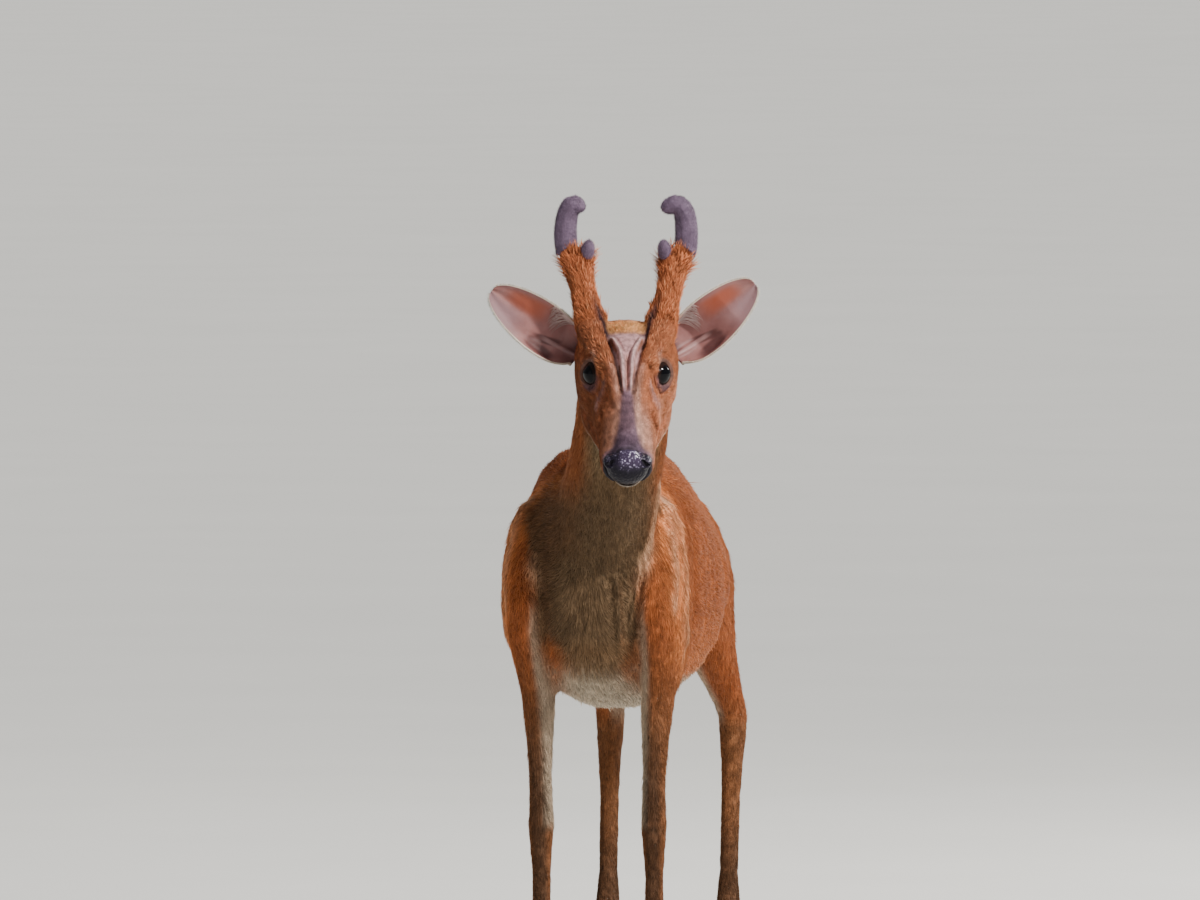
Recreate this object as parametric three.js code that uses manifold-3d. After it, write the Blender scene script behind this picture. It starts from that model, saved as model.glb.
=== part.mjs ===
// Indian muntjac buck with antlers in velvet, life size, standing still and looking over the viewer's way.
// Millimetres, +Z up. The head points towards -Y, its left side is +X, and the hooves stand on z = 0.
// Each part is a closed solid skinned over rings whose sizes are read off a few named stations.
import * as THREE from "three";
import { mergeVertices } from "three/addons/utils/BufferGeometryUtils.js";
import Module from "manifold-3d";

const wasm = await Module();
wasm.setup();

const degrees = Math.PI / 180;
const gap = 0.3; // between parts that touch
const leastEdge = 0.02;
const upwards = new THREE.Vector3(0, 0, 1);
const sideways = new THREE.Vector3(1, 0, 0);

// Where the parts are and how they turn
const eyeHeight = 578;
const eyeAhead = 372; // how far the eyes are in front of the middle of the trunk
const headOffset = 56; // the neck carries the head this far to the animal's left
const headPitch = 31 * degrees; // nose below the horizontal
const headYaw = 9.5 * degrees; // nose to the animal's left

const foreStance = 51; // a fore hoof from the middle line
const hindStance = 56;
const kneeHeight = 168; // where the fore leg parts, and the hind leg at the hock
const hockHeight = 233;
const coronetHeight = 25; // top of a hoof at its middle
const coronetSlope = 16 * degrees; // higher at the toe

// Trunk, chest to buttocks: back line, belly line, half width, and the level where it is widest
const trunkStations = [
  { y: -258, high: 420, low: 352, half: 20, mid: 385, roof: 2.2 },
  { y: -248, high: 448, low: 322, half: 36, mid: 382, roof: 2.2 },
  { y: -222, high: 480, low: 298, half: 52, mid: 382, roof: 2.2 },
  { y: -180, high: 502, low: 280, half: 68, mid: 388, roof: 2.4 },
  { y: -130, high: 509, low: 268, half: 81, mid: 390, roof: 2.5 },
  { y: -60, high: 501, low: 262, half: 86, mid: 378, roof: 2.2 },
  { y: 20, high: 495, low: 270, half: 86, mid: 368, roof: 1.65 },
  { y: 95, high: 495, low: 293, half: 77, mid: 372, roof: 1.4 },
  { y: 155, high: 489, low: 322, half: 67, mid: 382, roof: 1.28 },
  { y: 205, high: 477, low: 345, half: 58, mid: 390, roof: 1.22 },
  { y: 248, high: 459, low: 366, half: 48, mid: 398, roof: 1.35 },
  { y: 274, high: 440, low: 386, half: 34, mid: 406, roof: 1.8 },
  { y: 286, high: 426, low: 398, half: 16, mid: 411, roof: 2 },
];

// Fore leg, top to hoof: front and back edges, lateral middle and half width
const foreStations = [
  { z: 478, front: -162, back: -112, x: 46, half: 9 },
  { z: 463, front: -188, back: -98, x: 50, half: 17 },
  { z: 434, front: -220, back: -90, x: 56, half: 24.5 },
  { z: 398, front: -244, back: -88, x: 58, half: 26 },
  { z: 362, front: -251, back: -90, x: 58, half: 26 },
  { z: 332, front: -240, back: -98, x: 57.5, half: 24 },
  { z: 308, front: -224, back: -114, x: 56, half: 20 },
  { z: 284, front: -212, back: -144, x: 54, half: 16 },
  { z: 248, front: -204, back: -160, x: 52.5, half: 13 },
  { z: 212, front: -200, back: -168, x: 51.5, half: 11 },
  { z: 188, front: -199.5, back: -169, x: 51, half: 11.6 },
  { z: 168, front: -200, back: -167, x: 51, half: 12.4 },
  { z: 148, front: -196, back: -168, x: 51, half: 10.4 },
  { z: 122, front: -192, back: -170.5, x: 51, half: 8.7 },
  { z: 82, front: -192, back: -170, x: 51, half: 8.7 },
  { z: 60, front: -196, back: -166, x: 51, half: 11.6 },
  { z: 44, front: -201, back: -173, x: 51, half: 10.8 },
  { z: 24, front: -211, back: -178, x: 51, half: 12.5 },
  { z: 8, front: -212, back: -186, x: 51, half: 9 },
];

// Hind leg: thigh, hock and cannon
const hindStations = [
  { z: 446, front: 166, back: 234, x: 19, half: 7 },
  { z: 434, front: 146, back: 260, x: 23, half: 13 },
  { z: 414, front: 124, back: 280, x: 28.5, half: 19.5 },
  { z: 390, front: 107, back: 288, x: 33.5, half: 24.5 },
  { z: 362, front: 98, back: 286, x: 37, half: 28.5 },
  { z: 334, front: 102, back: 273, x: 40, half: 26.5 },
  { z: 308, front: 126, back: 257, x: 44, half: 23.5 },
  { z: 286, front: 157, back: 251, x: 48, half: 20.5 },
  { z: 267, front: 186, back: 256, x: 52, half: 17.5 },
  { z: 250, front: 209, back: 270, x: 55, half: 15 },
  { z: 237, front: 223, back: 281, x: 57, half: 13.6 },
  { z: 220, front: 230, back: 275, x: 57, half: 12.6 },
  { z: 198, front: 232, back: 265, x: 57, half: 10.8 },
  { z: 163, front: 231, back: 257, x: 56.5, half: 9.2 },
  { z: 95, front: 222, back: 246, x: 56, half: 8.8 },
  { z: 74, front: 219, back: 246, x: 56, half: 10.8 },
  { z: 58, front: 213, back: 245, x: 56, half: 12 },
  { z: 44, front: 207, back: 236, x: 56, half: 11 },
  { z: 24, front: 197, back: 230, x: 56, half: 12.5 },
  { z: 8, front: 196, back: 221, x: 56, half: 9 },
];

// Dew claws: a pair on each foot, set behind the fetlock
const dewClaw = { apart: 7, up: 50, half: 4, deep: 4.5, tall: 7, fore: -166, hind: 246 };

// One claw of a hoof, ground to coronet, with y and x from the middle of the foot
const clawStations = [
  { z: 0, front: -22, back: 18, x: 7.2, half: 5.8 },
  { z: 3, front: -22, back: 19, x: 7.3, half: 6.4 },
  { z: 16, front: -15, back: 19, x: 7.4, half: 6.6 },
  { z: 36, front: -4, back: 16, x: 7, half: 5.6 },
];
const clawMiddle = { fore: -198, hind: 212 };

// Tail: a flat furred strap that hangs close behind the buttocks
const tailRoot = { y: 268, z: 440 };
const tailPath = [
  { out: -14, down: -10, half: 12, thick: 9 },
  { out: 8, down: 2, half: 15, thick: 11 },
  { out: 23, down: 30, half: 18, thick: 11 },
  { out: 27, down: 72, half: 21, thick: 11 },
  { out: 27, down: 112, half: 18, thick: 9 },
  { out: 25, down: 140, half: 10, thick: 6 },
  { out: 24, down: 152, half: 3, thick: 2 },
];

// Head, in its own frame: the eyes' line is the origin, and ahead runs down the face to the nose
const headStations = [
  { ahead: -88, high: -8, low: -42, half: 22, mid: -20, roof: 2.2 },
  { ahead: -80, high: 4, low: -52, half: 33, mid: -18, roof: 2.2 },
  { ahead: -64, high: 17, low: -63, half: 42, mid: -14, roof: 2.2 },
  { ahead: -44, high: 25, low: -69, half: 46, mid: -10, roof: 2.2 },
  { ahead: -22, high: 27, low: -69, half: 45, mid: -9, roof: 2.2 },
  { ahead: 0, high: 25, low: -63, half: 40, mid: -9, roof: 2.2 },
  { ahead: 20, high: 20, low: -57, half: 34, mid: -13, roof: 2.1 },
  { ahead: 40, high: 13, low: -52, half: 29.5, mid: -18, roof: 1.9 },
  { ahead: 60, high: 6, low: -49, half: 26, mid: -23, roof: 1.7 },
  { ahead: 80, high: 0, low: -47, half: 24.5, mid: -27, roof: 1.65 },
  { ahead: 95, high: -5, low: -45, half: 23.5, mid: -29, roof: 1.65 },
  { ahead: 106, high: -13, low: -42, half: 19, mid: -30, roof: 1.8 },
  { ahead: 112, high: -22, low: -38, half: 10, mid: -31, roof: 2 },
];

// Lower jaw: one branch, from its deep corner under the ear forward to the chin
const jawBranch = [
  { x: 27, ahead: -54, up: -42, half: 11, thick: 15 },
  { x: 28, ahead: -32, up: -50, half: 12, thick: 17 },
  { x: 26.5, ahead: -6, up: -50, half: 11.5, thick: 15 },
  { x: 22, ahead: 20, up: -46, half: 10.5, thick: 12 },
  { x: 16.5, ahead: 50, up: -42, half: 9, thick: 9 },
  { x: 12, ahead: 78, up: -40, half: 6, thick: 6 },
];

// The two raised seams that run from the feet of the antlers down to the bridge of the nose
const browRidge = [
  { x: 31, ahead: -62, up: 16, half: 14, thick: 12 },
  { x: 30, ahead: -44, up: 19, half: 15, thick: 13 },
  { x: 27, ahead: -24, up: 19, half: 12, thick: 12 },
  { x: 21, ahead: -4, up: 17, half: 8.5, thick: 10.5 },
  { x: 15.5, ahead: 18, up: 12.5, half: 7, thick: 9 },
  { x: 10.5, ahead: 40, up: 6.5, half: 6, thick: 7.5 },
  { x: 7, ahead: 56, up: 1.5, half: 4, thick: 5 },
];

// Furred bony stalk under each antler
const pedicle = [
  { x: 29, ahead: -34, up: 8, half: 13, thick: 12 },
  { x: 30.5, ahead: -50, up: 19, half: 15.5, thick: 14.5 },
  { x: 33.5, ahead: -66, up: 29, half: 14, thick: 14.5 },
  { x: 37, ahead: -82, up: 38, half: 13, thick: 13.5 },
  { x: 40.5, ahead: -95, up: 45.5, half: 14, thick: 14 },
  { x: 43, ahead: -105, up: 51, half: 17, thick: 16 },
  { x: 44, ahead: -111, up: 54.5, half: 17, thick: 15.5 },
  { x: 44.5, ahead: -115, up: 57, half: 13, thick: 12 },
];

// Velvet antler: a short beam with a hooked tip that turns in, and a bud of a brow tine in front
const beam = [
  { x: 50, ahead: -103, up: 47, half: 8, thick: 8 },
  { x: 52.5, ahead: -111, up: 58, half: 10, thick: 10 },
  { x: 53.5, ahead: -118, up: 69, half: 10.3, thick: 10.3 },
  { x: 53, ahead: -124, up: 80, half: 10, thick: 10 },
  { x: 50.5, ahead: -129, up: 90, half: 9.5, thick: 9.5 },
  { x: 45.5, ahead: -131, up: 94.5, half: 8.8, thick: 8.8 },
  { x: 39.5, ahead: -130, up: 94, half: 8, thick: 8 },
  { x: 35, ahead: -128, up: 91.5, half: 6.2, thick: 6.2 },
  { x: 33, ahead: -127, up: 89.5, half: 3, thick: 3 },
];
const hookFrom = 4; // the station of the beam where its hook begins
const rightTipReach = 0.66; // the right antler's hook is less far grown
const browTine = [
  { x: 38, ahead: -99, up: 53, half: 5, thick: 5 },
  { x: 35, ahead: -100, up: 62, half: 6.4, thick: 6.4 },
  { x: 33.5, ahead: -101, up: 69, half: 6.2, thick: 6.2 },
  { x: 33, ahead: -101.5, up: 73.5, half: 4.6, thick: 4.6 },
  { x: 33, ahead: -102, up: 76, half: 1.8, thick: 1.8 },
];

// Ear: a leaf-shaped cup, rolled at its root and open to the front
const earSizes = {
  length: 97,
  half: 23, // of the open cup, seen from the front
  rootHalf: 12,
  thick: 3.4,
  rimThick: 1.6,
  spread: { left: 48.5 * degrees, right: 53.5 * degrees }, // tip out from the vertical
  leaf: { early: 0.82, round: 0.5 }, // how early the leaf is widest, and how round its outline
  rootRoll: 125 * degrees, // half angle of the roll at the root
  openRoll: 33 * degrees, // and where the cup is open
  openAt: 0.67, // share of the length where it is fully open
  taper: 0.35, // how much thinner the tip is
  lean: 6 * degrees, // tip back, once the head's own pitch is taken off
  turn: 8 * degrees, // cup turned out
  x: 41,
  ahead: -46,
  up: -9,
};

// Eye: a ball under two lids, turned well out to the side
const eye = { radius: 13.2, x: 26, ahead: -3.5, up: 0, outward: 50 * degrees, rise: 23 * degrees, lid: 2 };
const lidOpening = { long: 12.6, tall: 10, tilt: 43 * degrees, reach: 30 };

// Nose: bare wet end of the muzzle, its two wings, and a slanting nostril in each
const noseEnd = { ahead: 103, up: -26.5, half: 19, tall: 17, deep: 13 };
const noseWing = { x: 13.2, ahead: 101.5, up: -20.5, half: 8.4, tall: 9.3, deep: 10.5 };
const nostril = { x: 15.5, ahead: 110, up: -17.5, half: 2.6, long: 6, deep: 8, slant: 35 };
const mouth = { up: -36.5, slope: 6 * degrees, back: 42, front: 112, depth: 2.4, height: 1.1 };
const chin = { ahead: 92, up: -43, half: 12.5, deep: 15, tall: 6.5 };

// Neck, trunk to head
const neckStations = [
  { x: 2, y: -136, z: 398, half: 54, up: 92, down: 92 },
  { x: 4.5, y: -170, z: 416, half: 52.5, up: 86, down: 94 },
  { x: 11.5, y: -207, z: 442, half: 47.5, up: 74, down: 86 },
  { x: 21.5, y: -240, z: 472, half: 44, up: 63, down: 70 },
  { x: 31.5, y: -268, z: 504, half: 43, up: 55, down: 58 },
  { x: 39.5, y: -291, z: 536, half: 42.5, up: 50, down: 50 },
  { x: 45, y: -308, z: 565, half: 42, up: 43, down: 43 },
  { x: 47, y: -317, z: 584, half: 36, up: 32, down: 35 },
  { x: 47, y: -321, z: 594, half: 22, up: 18, down: 23 },
];

// How finely each form is cut: its divisions, the sides of a ring, and how far its corners fill out
const fineness = {
  trunk: { parts: 2, sides: 20, square: 2.25 },
  skull: { parts: 2, sides: 24, square: 2.2 },
  leg: { parts: 1, sides: 12, square: 2.1 },
  claw: { parts: 1, sides: 12, square: 2.2 },
  neck: { parts: 13, sides: 20, square: 2.15 },
  tail: { parts: 10, sides: 10, square: 2 },
  jaw: { parts: 9, sides: 10, square: 2 },
  brow: { parts: 10, sides: 10, square: 2 },
  pedicle: { parts: 10, sides: 12, square: 2 },
  beam: { parts: 15, sides: 10, square: 2 },
  tine: { parts: 6, sides: 8, square: 2 },
  ear: { parts: 11, columns: 8 },
};

// Smooth value of one named size between stations, which are listed in order of their key.
function sizeAt(stations, key, name, at) {
  const last = stations.length - 1;
  const sign = Math.sign(stations[last][key] - stations[0][key]);
  let i = 0;
  while (i < last - 1 && sign * (at - stations[i + 1][key]) > 0) i += 1;
  const before = stations[Math.max(i - 1, 0)];
  const here = stations[i];
  const next = stations[i + 1];
  const after = stations[Math.min(i + 2, last)];
  const span = next[key] - here[key];
  const slopeHere = ((next[name] - before[name]) / (next[key] - before[key])) * span;
  const slopeNext = ((after[name] - here[name]) / (after[key] - here[key])) * span;
  const t = (at - here[key]) / span;
  const t2 = t * t;
  const t3 = t2 * t;
  const value = here[name] * (2 * t3 - 3 * t2 + 1) + next[name] * (3 * t2 - 2 * t3);
  return value + slopeHere * (t3 - 2 * t2 + t) + slopeNext * (t3 - t2);
}

// The stations with each interval divided into equal parts, every size interpolated.
function refined(stations, key, parts) {
  const rows = [];
  stations.slice(0, -1).forEach((here, i) => {
    for (let p = 0; p < parts; p += 1) {
      const at = here[key] + ((stations[i + 1][key] - here[key]) * p) / parts;
      const names = Object.keys(here);
      rows.push(Object.fromEntries(names.map((n) => [n, n === key ? at : sizeAt(stations, key, n, at)])));
    }
  });
  return [...rows, stations[stations.length - 1]];
}

// Turns a three.js geometry into a solid with its faces outward.
function solidOf(geometry) {
  const bare = geometry.index ? geometry.toNonIndexed() : geometry.clone();
  const positions = new THREE.BufferGeometry().setAttribute("position", bare.getAttribute("position"));
  const merged = mergeVertices(positions, 1e-3);
  const vertProperties = new Float32Array(merged.attributes.position.array);
  const triVerts = new Uint32Array(merged.index.array);
  const solid = new wasm.Manifold(new wasm.Mesh({ numProp: 3, vertProperties, triVerts }));
  if (solid.volume() > 0) return solid;
  for (let i = 0; i < triVerts.length; i += 3) {
    [triVerts[i + 1], triVerts[i + 2]] = [triVerts[i + 2], triVerts[i + 1]];
  }
  return new wasm.Manifold(new wasm.Mesh({ numProp: 3, vertProperties, triVerts }));
}

// Skins rings of points into one closed solid, with a fan over each end.
function skinned(rings) {
  const sides = rings[0].length;
  const centre = (ring) => ring.reduce((sum, p) => sum.add(p), new THREE.Vector3()).divideScalar(sides);
  const corners = [];
  const triangle = (a, b, c) => corners.push(a.x, a.y, a.z, b.x, b.y, b.z, c.x, c.y, c.z);
  rings.slice(1).forEach((ring, i) => {
    const below = rings[i];
    for (let s = 0; s < sides; s += 1) {
      const n = (s + 1) % sides;
      triangle(below[s], below[n], ring[n]);
      triangle(below[s], ring[n], ring[s]);
    }
  });
  const [first, last] = [rings[0], rings[rings.length - 1]];
  const [start, end] = [centre(first), centre(last)];
  for (let s = 0; s < sides; s += 1) {
    const n = (s + 1) % sides;
    triangle(start, first[n], first[s]);
    triangle(end, last[s], last[n]);
  }
  const geometry = new THREE.BufferGeometry();
  geometry.setAttribute("position", new THREE.Float32BufferAttribute(corners, 3));
  return solidOf(geometry);
}

// One ring: half a width each way along across, and up and down along upward. Its corners fill out as square,
// and roof for its upper half, rise above 2.
function ring(middle, across, upward, half, up, down, sides, square = 2, roof = square) {
  return Array.from({ length: sides }, (_, s) => {
    const angle = (2 * Math.PI * (s + 0.5)) / sides;
    const bulge = (v) => Math.sign(v) * Math.abs(v) ** (2 / (Math.sin(angle) > 0 ? roof : square));
    const rise = bulge(Math.sin(angle));
    return middle
      .clone()
      .addScaledVector(across, half * bulge(Math.cos(angle)))
      .addScaledVector(upward, rise * (rise > 0 ? up : down));
  });
}

// A body that runs along Y, cut square to it: the trunk, and the head in its own frame.
function alongY(stations, key, sign, { parts, sides, square }, grow) {
  const rows = refined(stations, key, parts);
  const rings = rows.map((s) => {
    const middle = new THREE.Vector3(0, sign * s[key], s.mid);
    const [up, down] = [s.high - s.mid + grow, s.mid - s.low + grow];
    return ring(middle, sideways, upwards, s.half + grow, up, down, sides, square, s.roof);
  });
  return skinned(rings);
}

// A leg or claw, cut level: its front and back edges are stations too.
function alongZ(stations, { parts, sides, square }, grow) {
  const forwards = new THREE.Vector3(0, -1, 0);
  const rings = refined(stations, "z", parts).map((s) => {
    const middle = new THREE.Vector3(s.x, (s.front + s.back) / 2, s.z);
    const reach = (s.back - s.front) / 2 + grow;
    return ring(middle, sideways, forwards, s.half + grow, reach, reach, sides, square);
  });
  return skinned(rings);
}

// A round limb along a smooth curve through its points, with rings square to the curve. Half is its size
// towards the wide direction, which never lies along the curve.
function alongCurve(points, sizes, { parts, sides, square }, grow, wide = sideways) {
  const curve = new THREE.CatmullRomCurve3(points, false, "centripetal");
  const keyed = sizes.map((s, i) => ({ ...s, at: i / (sizes.length - 1) }));
  const rings = Array.from({ length: parts + 1 }, (_, i) => {
    const t = i / parts;
    const middle = curve.getPoint(t);
    const tangent = curve.getTangent(t);
    const across = wide.clone().addScaledVector(tangent, -wide.dot(tangent)).normalize();
    const upward = new THREE.Vector3().crossVectors(across, tangent).normalize();
    const size = (name) => sizeAt(keyed, "at", name, t) + grow;
    return ring(middle, across, upward, size("half"), size("up"), size("down"), sides, square);
  });
  return skinned(rings);
}

// A limb given in the head's frame by x, ahead and up.
function headLimb(rows, fine, grow, wide = sideways) {
  const points = rows.map((r) => new THREE.Vector3(r.x, -r.ahead, r.up));
  const sizes = rows.map((r) => ({ half: r.half, up: r.thick, down: r.thick }));
  return alongCurve(points, sizes, fine, grow, wide);
}

// An egg shape, from a sphere stretched on each axis.
function egg(x, y, z, rx, ry, rz, grow, detail = 14) {
  const sphere = new THREE.SphereGeometry(1, detail, Math.round(detail * 0.7));
  sphere.scale(rx + grow, ry + grow, rz + grow).translate(x, y, z);
  return solidOf(sphere);
}

const joined = (solids) => solids.reduce((a, b) => a.add(b));
const cutBy = (solid, tools) => tools.reduce((a, b) => a.subtract(b), solid);
const mirrored = (solid) => solid.mirror([1, 0, 0]);

// Keeps the largest closed surface, which drops scraps that a cut leaves.
function largest(solid) {
  return solid.decompose().reduce((a, b) => (b.volume() > a.volume() ? b : a));
}

// Draws corners that a cut has left closer than the least edge into one, and drops the faces between them.
function welded({ vertProperties, triVerts }) {
  const loose = new THREE.BufferGeometry();
  loose.setAttribute("position", new THREE.BufferAttribute(new Float32Array(vertProperties), 3));
  loose.setIndex(new THREE.BufferAttribute(new Uint32Array(triVerts), 1));
  const geometry = mergeVertices(loose, leastEdge);
  const kept = [];
  for (let i = 0; i < geometry.index.count; i += 3) {
    const [a, b, c] = [0, 1, 2].map((k) => geometry.index.getX(i + k));
    if (a !== b && b !== c && c !== a) kept.push(a, b, c);
  }
  geometry.setIndex(kept);
  return geometry;
}

// Trunk and legs
const trunk = (grow) => alongY(trunkStations, "y", 1, fineness.trunk, grow);
const foreLeg = (grow) => alongZ(foreStations, fineness.leg, grow);
const hindLeg = (grow) => alongZ(hindStations, fineness.leg, grow);

// Dew claws: two small horn buds behind each fetlock.
function dewClaws(x, y) {
  const { apart, up, half, deep, tall } = dewClaw;
  return [-apart, apart].map((side) => egg(x + side, y, up, half, deep, tall, 0, 8));
}

// Keeps what is above or below the sloping top of a hoof.
function coronetCut(solid, middle, above) {
  const normal = [0, Math.sin(coronetSlope), Math.cos(coronetSlope)];
  const level = middle * normal[1] + (coronetHeight + (above ? gap / 2 : -gap / 2)) * normal[2];
  return above ? solid.trimByPlane(normal, level) : solid.trimByPlane(normal.map((n) => -n), -level);
}

// A leg's parts, left side: upper, lower, and the two claws of its hoof.
function legParts(leg, parting, stance, middle, dewY) {
  const upper = leg.trimByPlane([0, 0, 1], parting + gap / 2);
  const shank = leg.trimByPlane([0, 0, -1], -(parting - gap / 2));
  const lower = coronetCut(joined([shank, ...dewClaws(stance, dewY)]), middle, true);
  const claw = (side) => {
    const rows = clawStations.map((s) => {
      return { ...s, front: s.front + middle, back: s.back + middle, x: stance + side * s.x };
    });
    return coronetCut(alongZ(rows, fineness.claw, 0), middle, false);
  };
  return { upper, lower, hoof_outer: claw(1), hoof_inner: claw(-1) };
}

const foreParts = legParts(foreLeg(0), kneeHeight, foreStance, clawMiddle.fore, dewClaw.fore);
const hindParts = legParts(hindLeg(0), hockHeight, hindStance, clawMiddle.hind, dewClaw.hind);
const legTools = [foreLeg(gap), hindLeg(gap)].flatMap((leg) => [leg, mirrored(leg)]);

// Neck
function neck(grow) {
  const points = neckStations.map((s) => new THREE.Vector3(s.x, s.y, s.z));
  return alongCurve(points, neckStations, fineness.neck, grow);
}

// The frame that carries the head: pitched down at the nose, then turned to the left.
const headPlace = new THREE.Matrix4()
  .makeTranslation(headOffset, -eyeAhead, eyeHeight)
  .multiply(new THREE.Matrix4().makeRotationZ(headYaw))
  .multiply(new THREE.Matrix4().makeRotationX(headPitch));
const placed = (solid) => solid.transform(headPlace.elements);

// Skull and flesh of the head, in its own frame.
function skullForm(grow) {
  const skull = alongY(headStations, "ahead", -1, fineness.skull, grow);
  const jawEnd = egg(0, -chin.ahead, chin.up, chin.half, chin.deep, chin.tall, grow, 12);
  const branch = headLimb(jawBranch, fineness.jaw, grow);
  return joined([skull, jawEnd, branch, mirrored(branch)]);
}

// The same with its brow ridges.
function headForm(grow) {
  const ridge = headLimb(browRidge, fineness.brow, grow);
  return joined([skullForm(grow), ridge, mirrored(ridge)]);
}

// Points an object's own +Y axis outward from the eye's socket, and up by the eye's rise.
function eyeFrame(solid) {
  const place = new THREE.Matrix4()
    .makeTranslation(eye.x, -eye.ahead, eye.up)
    .multiply(new THREE.Matrix4().makeRotationZ(Math.PI + eye.outward))
    .multiply(new THREE.Matrix4().makeRotationX(eye.rise));
  return solid.transform(place.elements);
}

// The lids: a low dome over the ball, opened in an almond that tilts down at the inner corner.
function lidDome() {
  return eyeFrame(egg(0, 0, 0, eye.radius, eye.radius, eye.radius, eye.lid, 14));
}
function lidOpen() {
  const outline = new THREE.Shape();
  outline.moveTo(-lidOpening.long, 0);
  outline.quadraticCurveTo(0, 2 * lidOpening.tall, lidOpening.long, 0);
  outline.quadraticCurveTo(0, -2 * lidOpening.tall, -lidOpening.long, 0);
  const cut = { depth: lidOpening.reach, bevelEnabled: false, curveSegments: 6 };
  const prism = new THREE.ExtrudeGeometry(outline, cut);
  prism.rotateZ(lidOpening.tilt).rotateX(-Math.PI / 2);
  return eyeFrame(solidOf(prism));
}
const eyeBall = (grow) => eyeFrame(egg(0, 0, 0, eye.radius, eye.radius, eye.radius, grow, 14));

// The nose's pad with its wings, and the pit of the left nostril.
function nosePad(grow) {
  const middle = egg(0, -noseEnd.ahead, noseEnd.up, noseEnd.half, noseEnd.deep, noseEnd.tall, grow, 16);
  const { x, ahead, up, half, deep, tall } = noseWing;
  const wing = egg(x, -ahead, up, half, deep, tall, grow, 12);
  return joined([middle, wing, mirrored(wing)]);
}
function nostrilPit() {
  const pit = egg(0, 0, 0, nostril.half, nostril.deep, nostril.long, 0, 8);
  return pit.rotate([0, -nostril.slant, 0]).translate([nostril.x, -nostril.ahead, nostril.up]);
}

// The line between the lips: a thin slab that bites only the outer flesh of the muzzle.
function mouthLine() {
  const length = mouth.front - mouth.back;
  const slab = new THREE.BoxGeometry(80, length, mouth.height);
  slab.translate(0, -length / 2, 0).rotateX(mouth.slope).translate(0, -mouth.back, mouth.up);
  return solidOf(slab).subtract(skullForm(-mouth.depth));
}

// The ear's sheet: rolled into a half tube at the root and opening to a shallow leaf, rounded at the tip.
function earCup() {
  const { parts: rows, columns } = fineness.ear;
  const { leaf, rootRoll, openRoll, openAt, rimThick } = earSizes;
  const outlineHalf = (t) => {
    const share = Math.sin(Math.PI * t ** leaf.early) ** leaf.round;
    return Math.max(earSizes.half * share, earSizes.rootHalf * (1 - t) ** 2.5, rimThick / 2);
  };
  const bend = (t) => rootRoll - (rootRoll - openRoll) * Math.min(1, t / openAt);
  const sheet = (t, v, outer) => {
    const angle = bend(t) * v;
    const radius = outlineHalf(t) / Math.sin(Math.min(bend(t), Math.PI / 2));
    const edge = Math.abs(v) ** 3;
    const wall = (earSizes.thick * (1 - edge) + rimThick * edge) * (1 - earSizes.taper * t);
    const reach = radius + (outer ? wall / 2 : -wall / 2);
    const backward = radius * Math.cos(Math.min(bend(t), Math.PI / 2));
    const height = t * earSizes.length;
    return new THREE.Vector3(reach * Math.sin(angle), reach * Math.cos(angle) - backward, height);
  };
  const rings = Array.from({ length: rows + 1 }, (_, r) => {
    const t = (r / rows) ** 0.9 * 0.992;
    const across = Array.from({ length: columns + 1 }, (__, c) => (2 * c) / columns - 1);
    return [...across.map((v) => sheet(t, v, true)), ...across.reverse().map((v) => sheet(t, v, false))];
  });
  return skinned(rings);
}
function earSolid(side) {
  const frame = new THREE.Matrix4()
    .makeTranslation(earSizes.x, -earSizes.ahead, earSizes.up)
    .multiply(new THREE.Matrix4().makeRotationX(-headPitch - earSizes.lean))
    .multiply(new THREE.Matrix4().makeRotationY(earSizes.spread[side]))
    .multiply(new THREE.Matrix4().makeRotationZ(earSizes.turn));
  return earCup().transform(frame.elements);
}

// The beam of one antler; reach shortens the hook of its tip.
function antlerBeam(reach, grow) {
  const crest = beam[hookFrom].x;
  const rows = beam.map((r, i) => (i > hookFrom ? { ...r, x: crest + (r.x - crest) * reach } : r));
  return headLimb(rows, fineness.beam, grow, new THREE.Vector3(0, 1, 0));
}
const tine = (grow) => headLimb(browTine, fineness.tine, grow);
const pedicleSolid = (grow) => headLimb(pedicle, fineness.pedicle, grow);

// Tail
function tail() {
  const points = tailPath.map((s) => new THREE.Vector3(0, tailRoot.y + s.out, tailRoot.z - s.down));
  const sizes = tailPath.map((s) => ({ half: s.half, up: s.thick, down: s.thick }));
  return alongCurve(points, sizes, fineness.tail, 0);
}

// Each part cut clear of what it grows from
const eyes = [eyeBall(0), mirrored(eyeBall(0))];
const eyeTools = [eyeBall(gap), mirrored(eyeBall(gap))];
const lids = [lidDome(), mirrored(lidDome())];
const lidCuts = [lidOpen(), mirrored(lidOpen())];
const headWhole = joined([headForm(0), ...lids]);
const nose = cutBy(nosePad(0), [nostrilPit(), mirrored(nostrilPit())]);
const head = cutBy(headWhole, [...eyeTools, ...lidCuts, nosePad(gap), mouthLine()]);
const headTool = joined([headForm(gap), nosePad(gap)]);
const bareNeck = cutBy(neck(0), [trunk(gap), ...legTools, placed(headTool)]);
const bareTrunk = cutBy(trunk(0), legTools);
const bareTail = cutBy(tail(), [trunk(gap), ...legTools]);

const coat = { colour: 0xa4552a, roughness: 0.75 };
const paleCoat = { colour: 0xb07a4a, roughness: 0.8 };
const horn = { colour: 0x2a2320, roughness: 0.45 };
const velvet = { colour: 0x6f6070, roughness: 0.9 };
const wet = { colour: 0x15141a, roughness: 0.15 };
const shankCoat = { colour: 0x6e4630, roughness: 0.8 };

const muntjac = new THREE.Group();

function addPart(name, solid, finish) {
  const geometry = welded(largest(solid).getMesh());
  const material = new THREE.MeshStandardMaterial({ color: finish.colour, roughness: finish.roughness });
  const part = new THREE.Mesh(geometry, material);
  part.name = name;
  muntjac.add(part);
}

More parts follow.
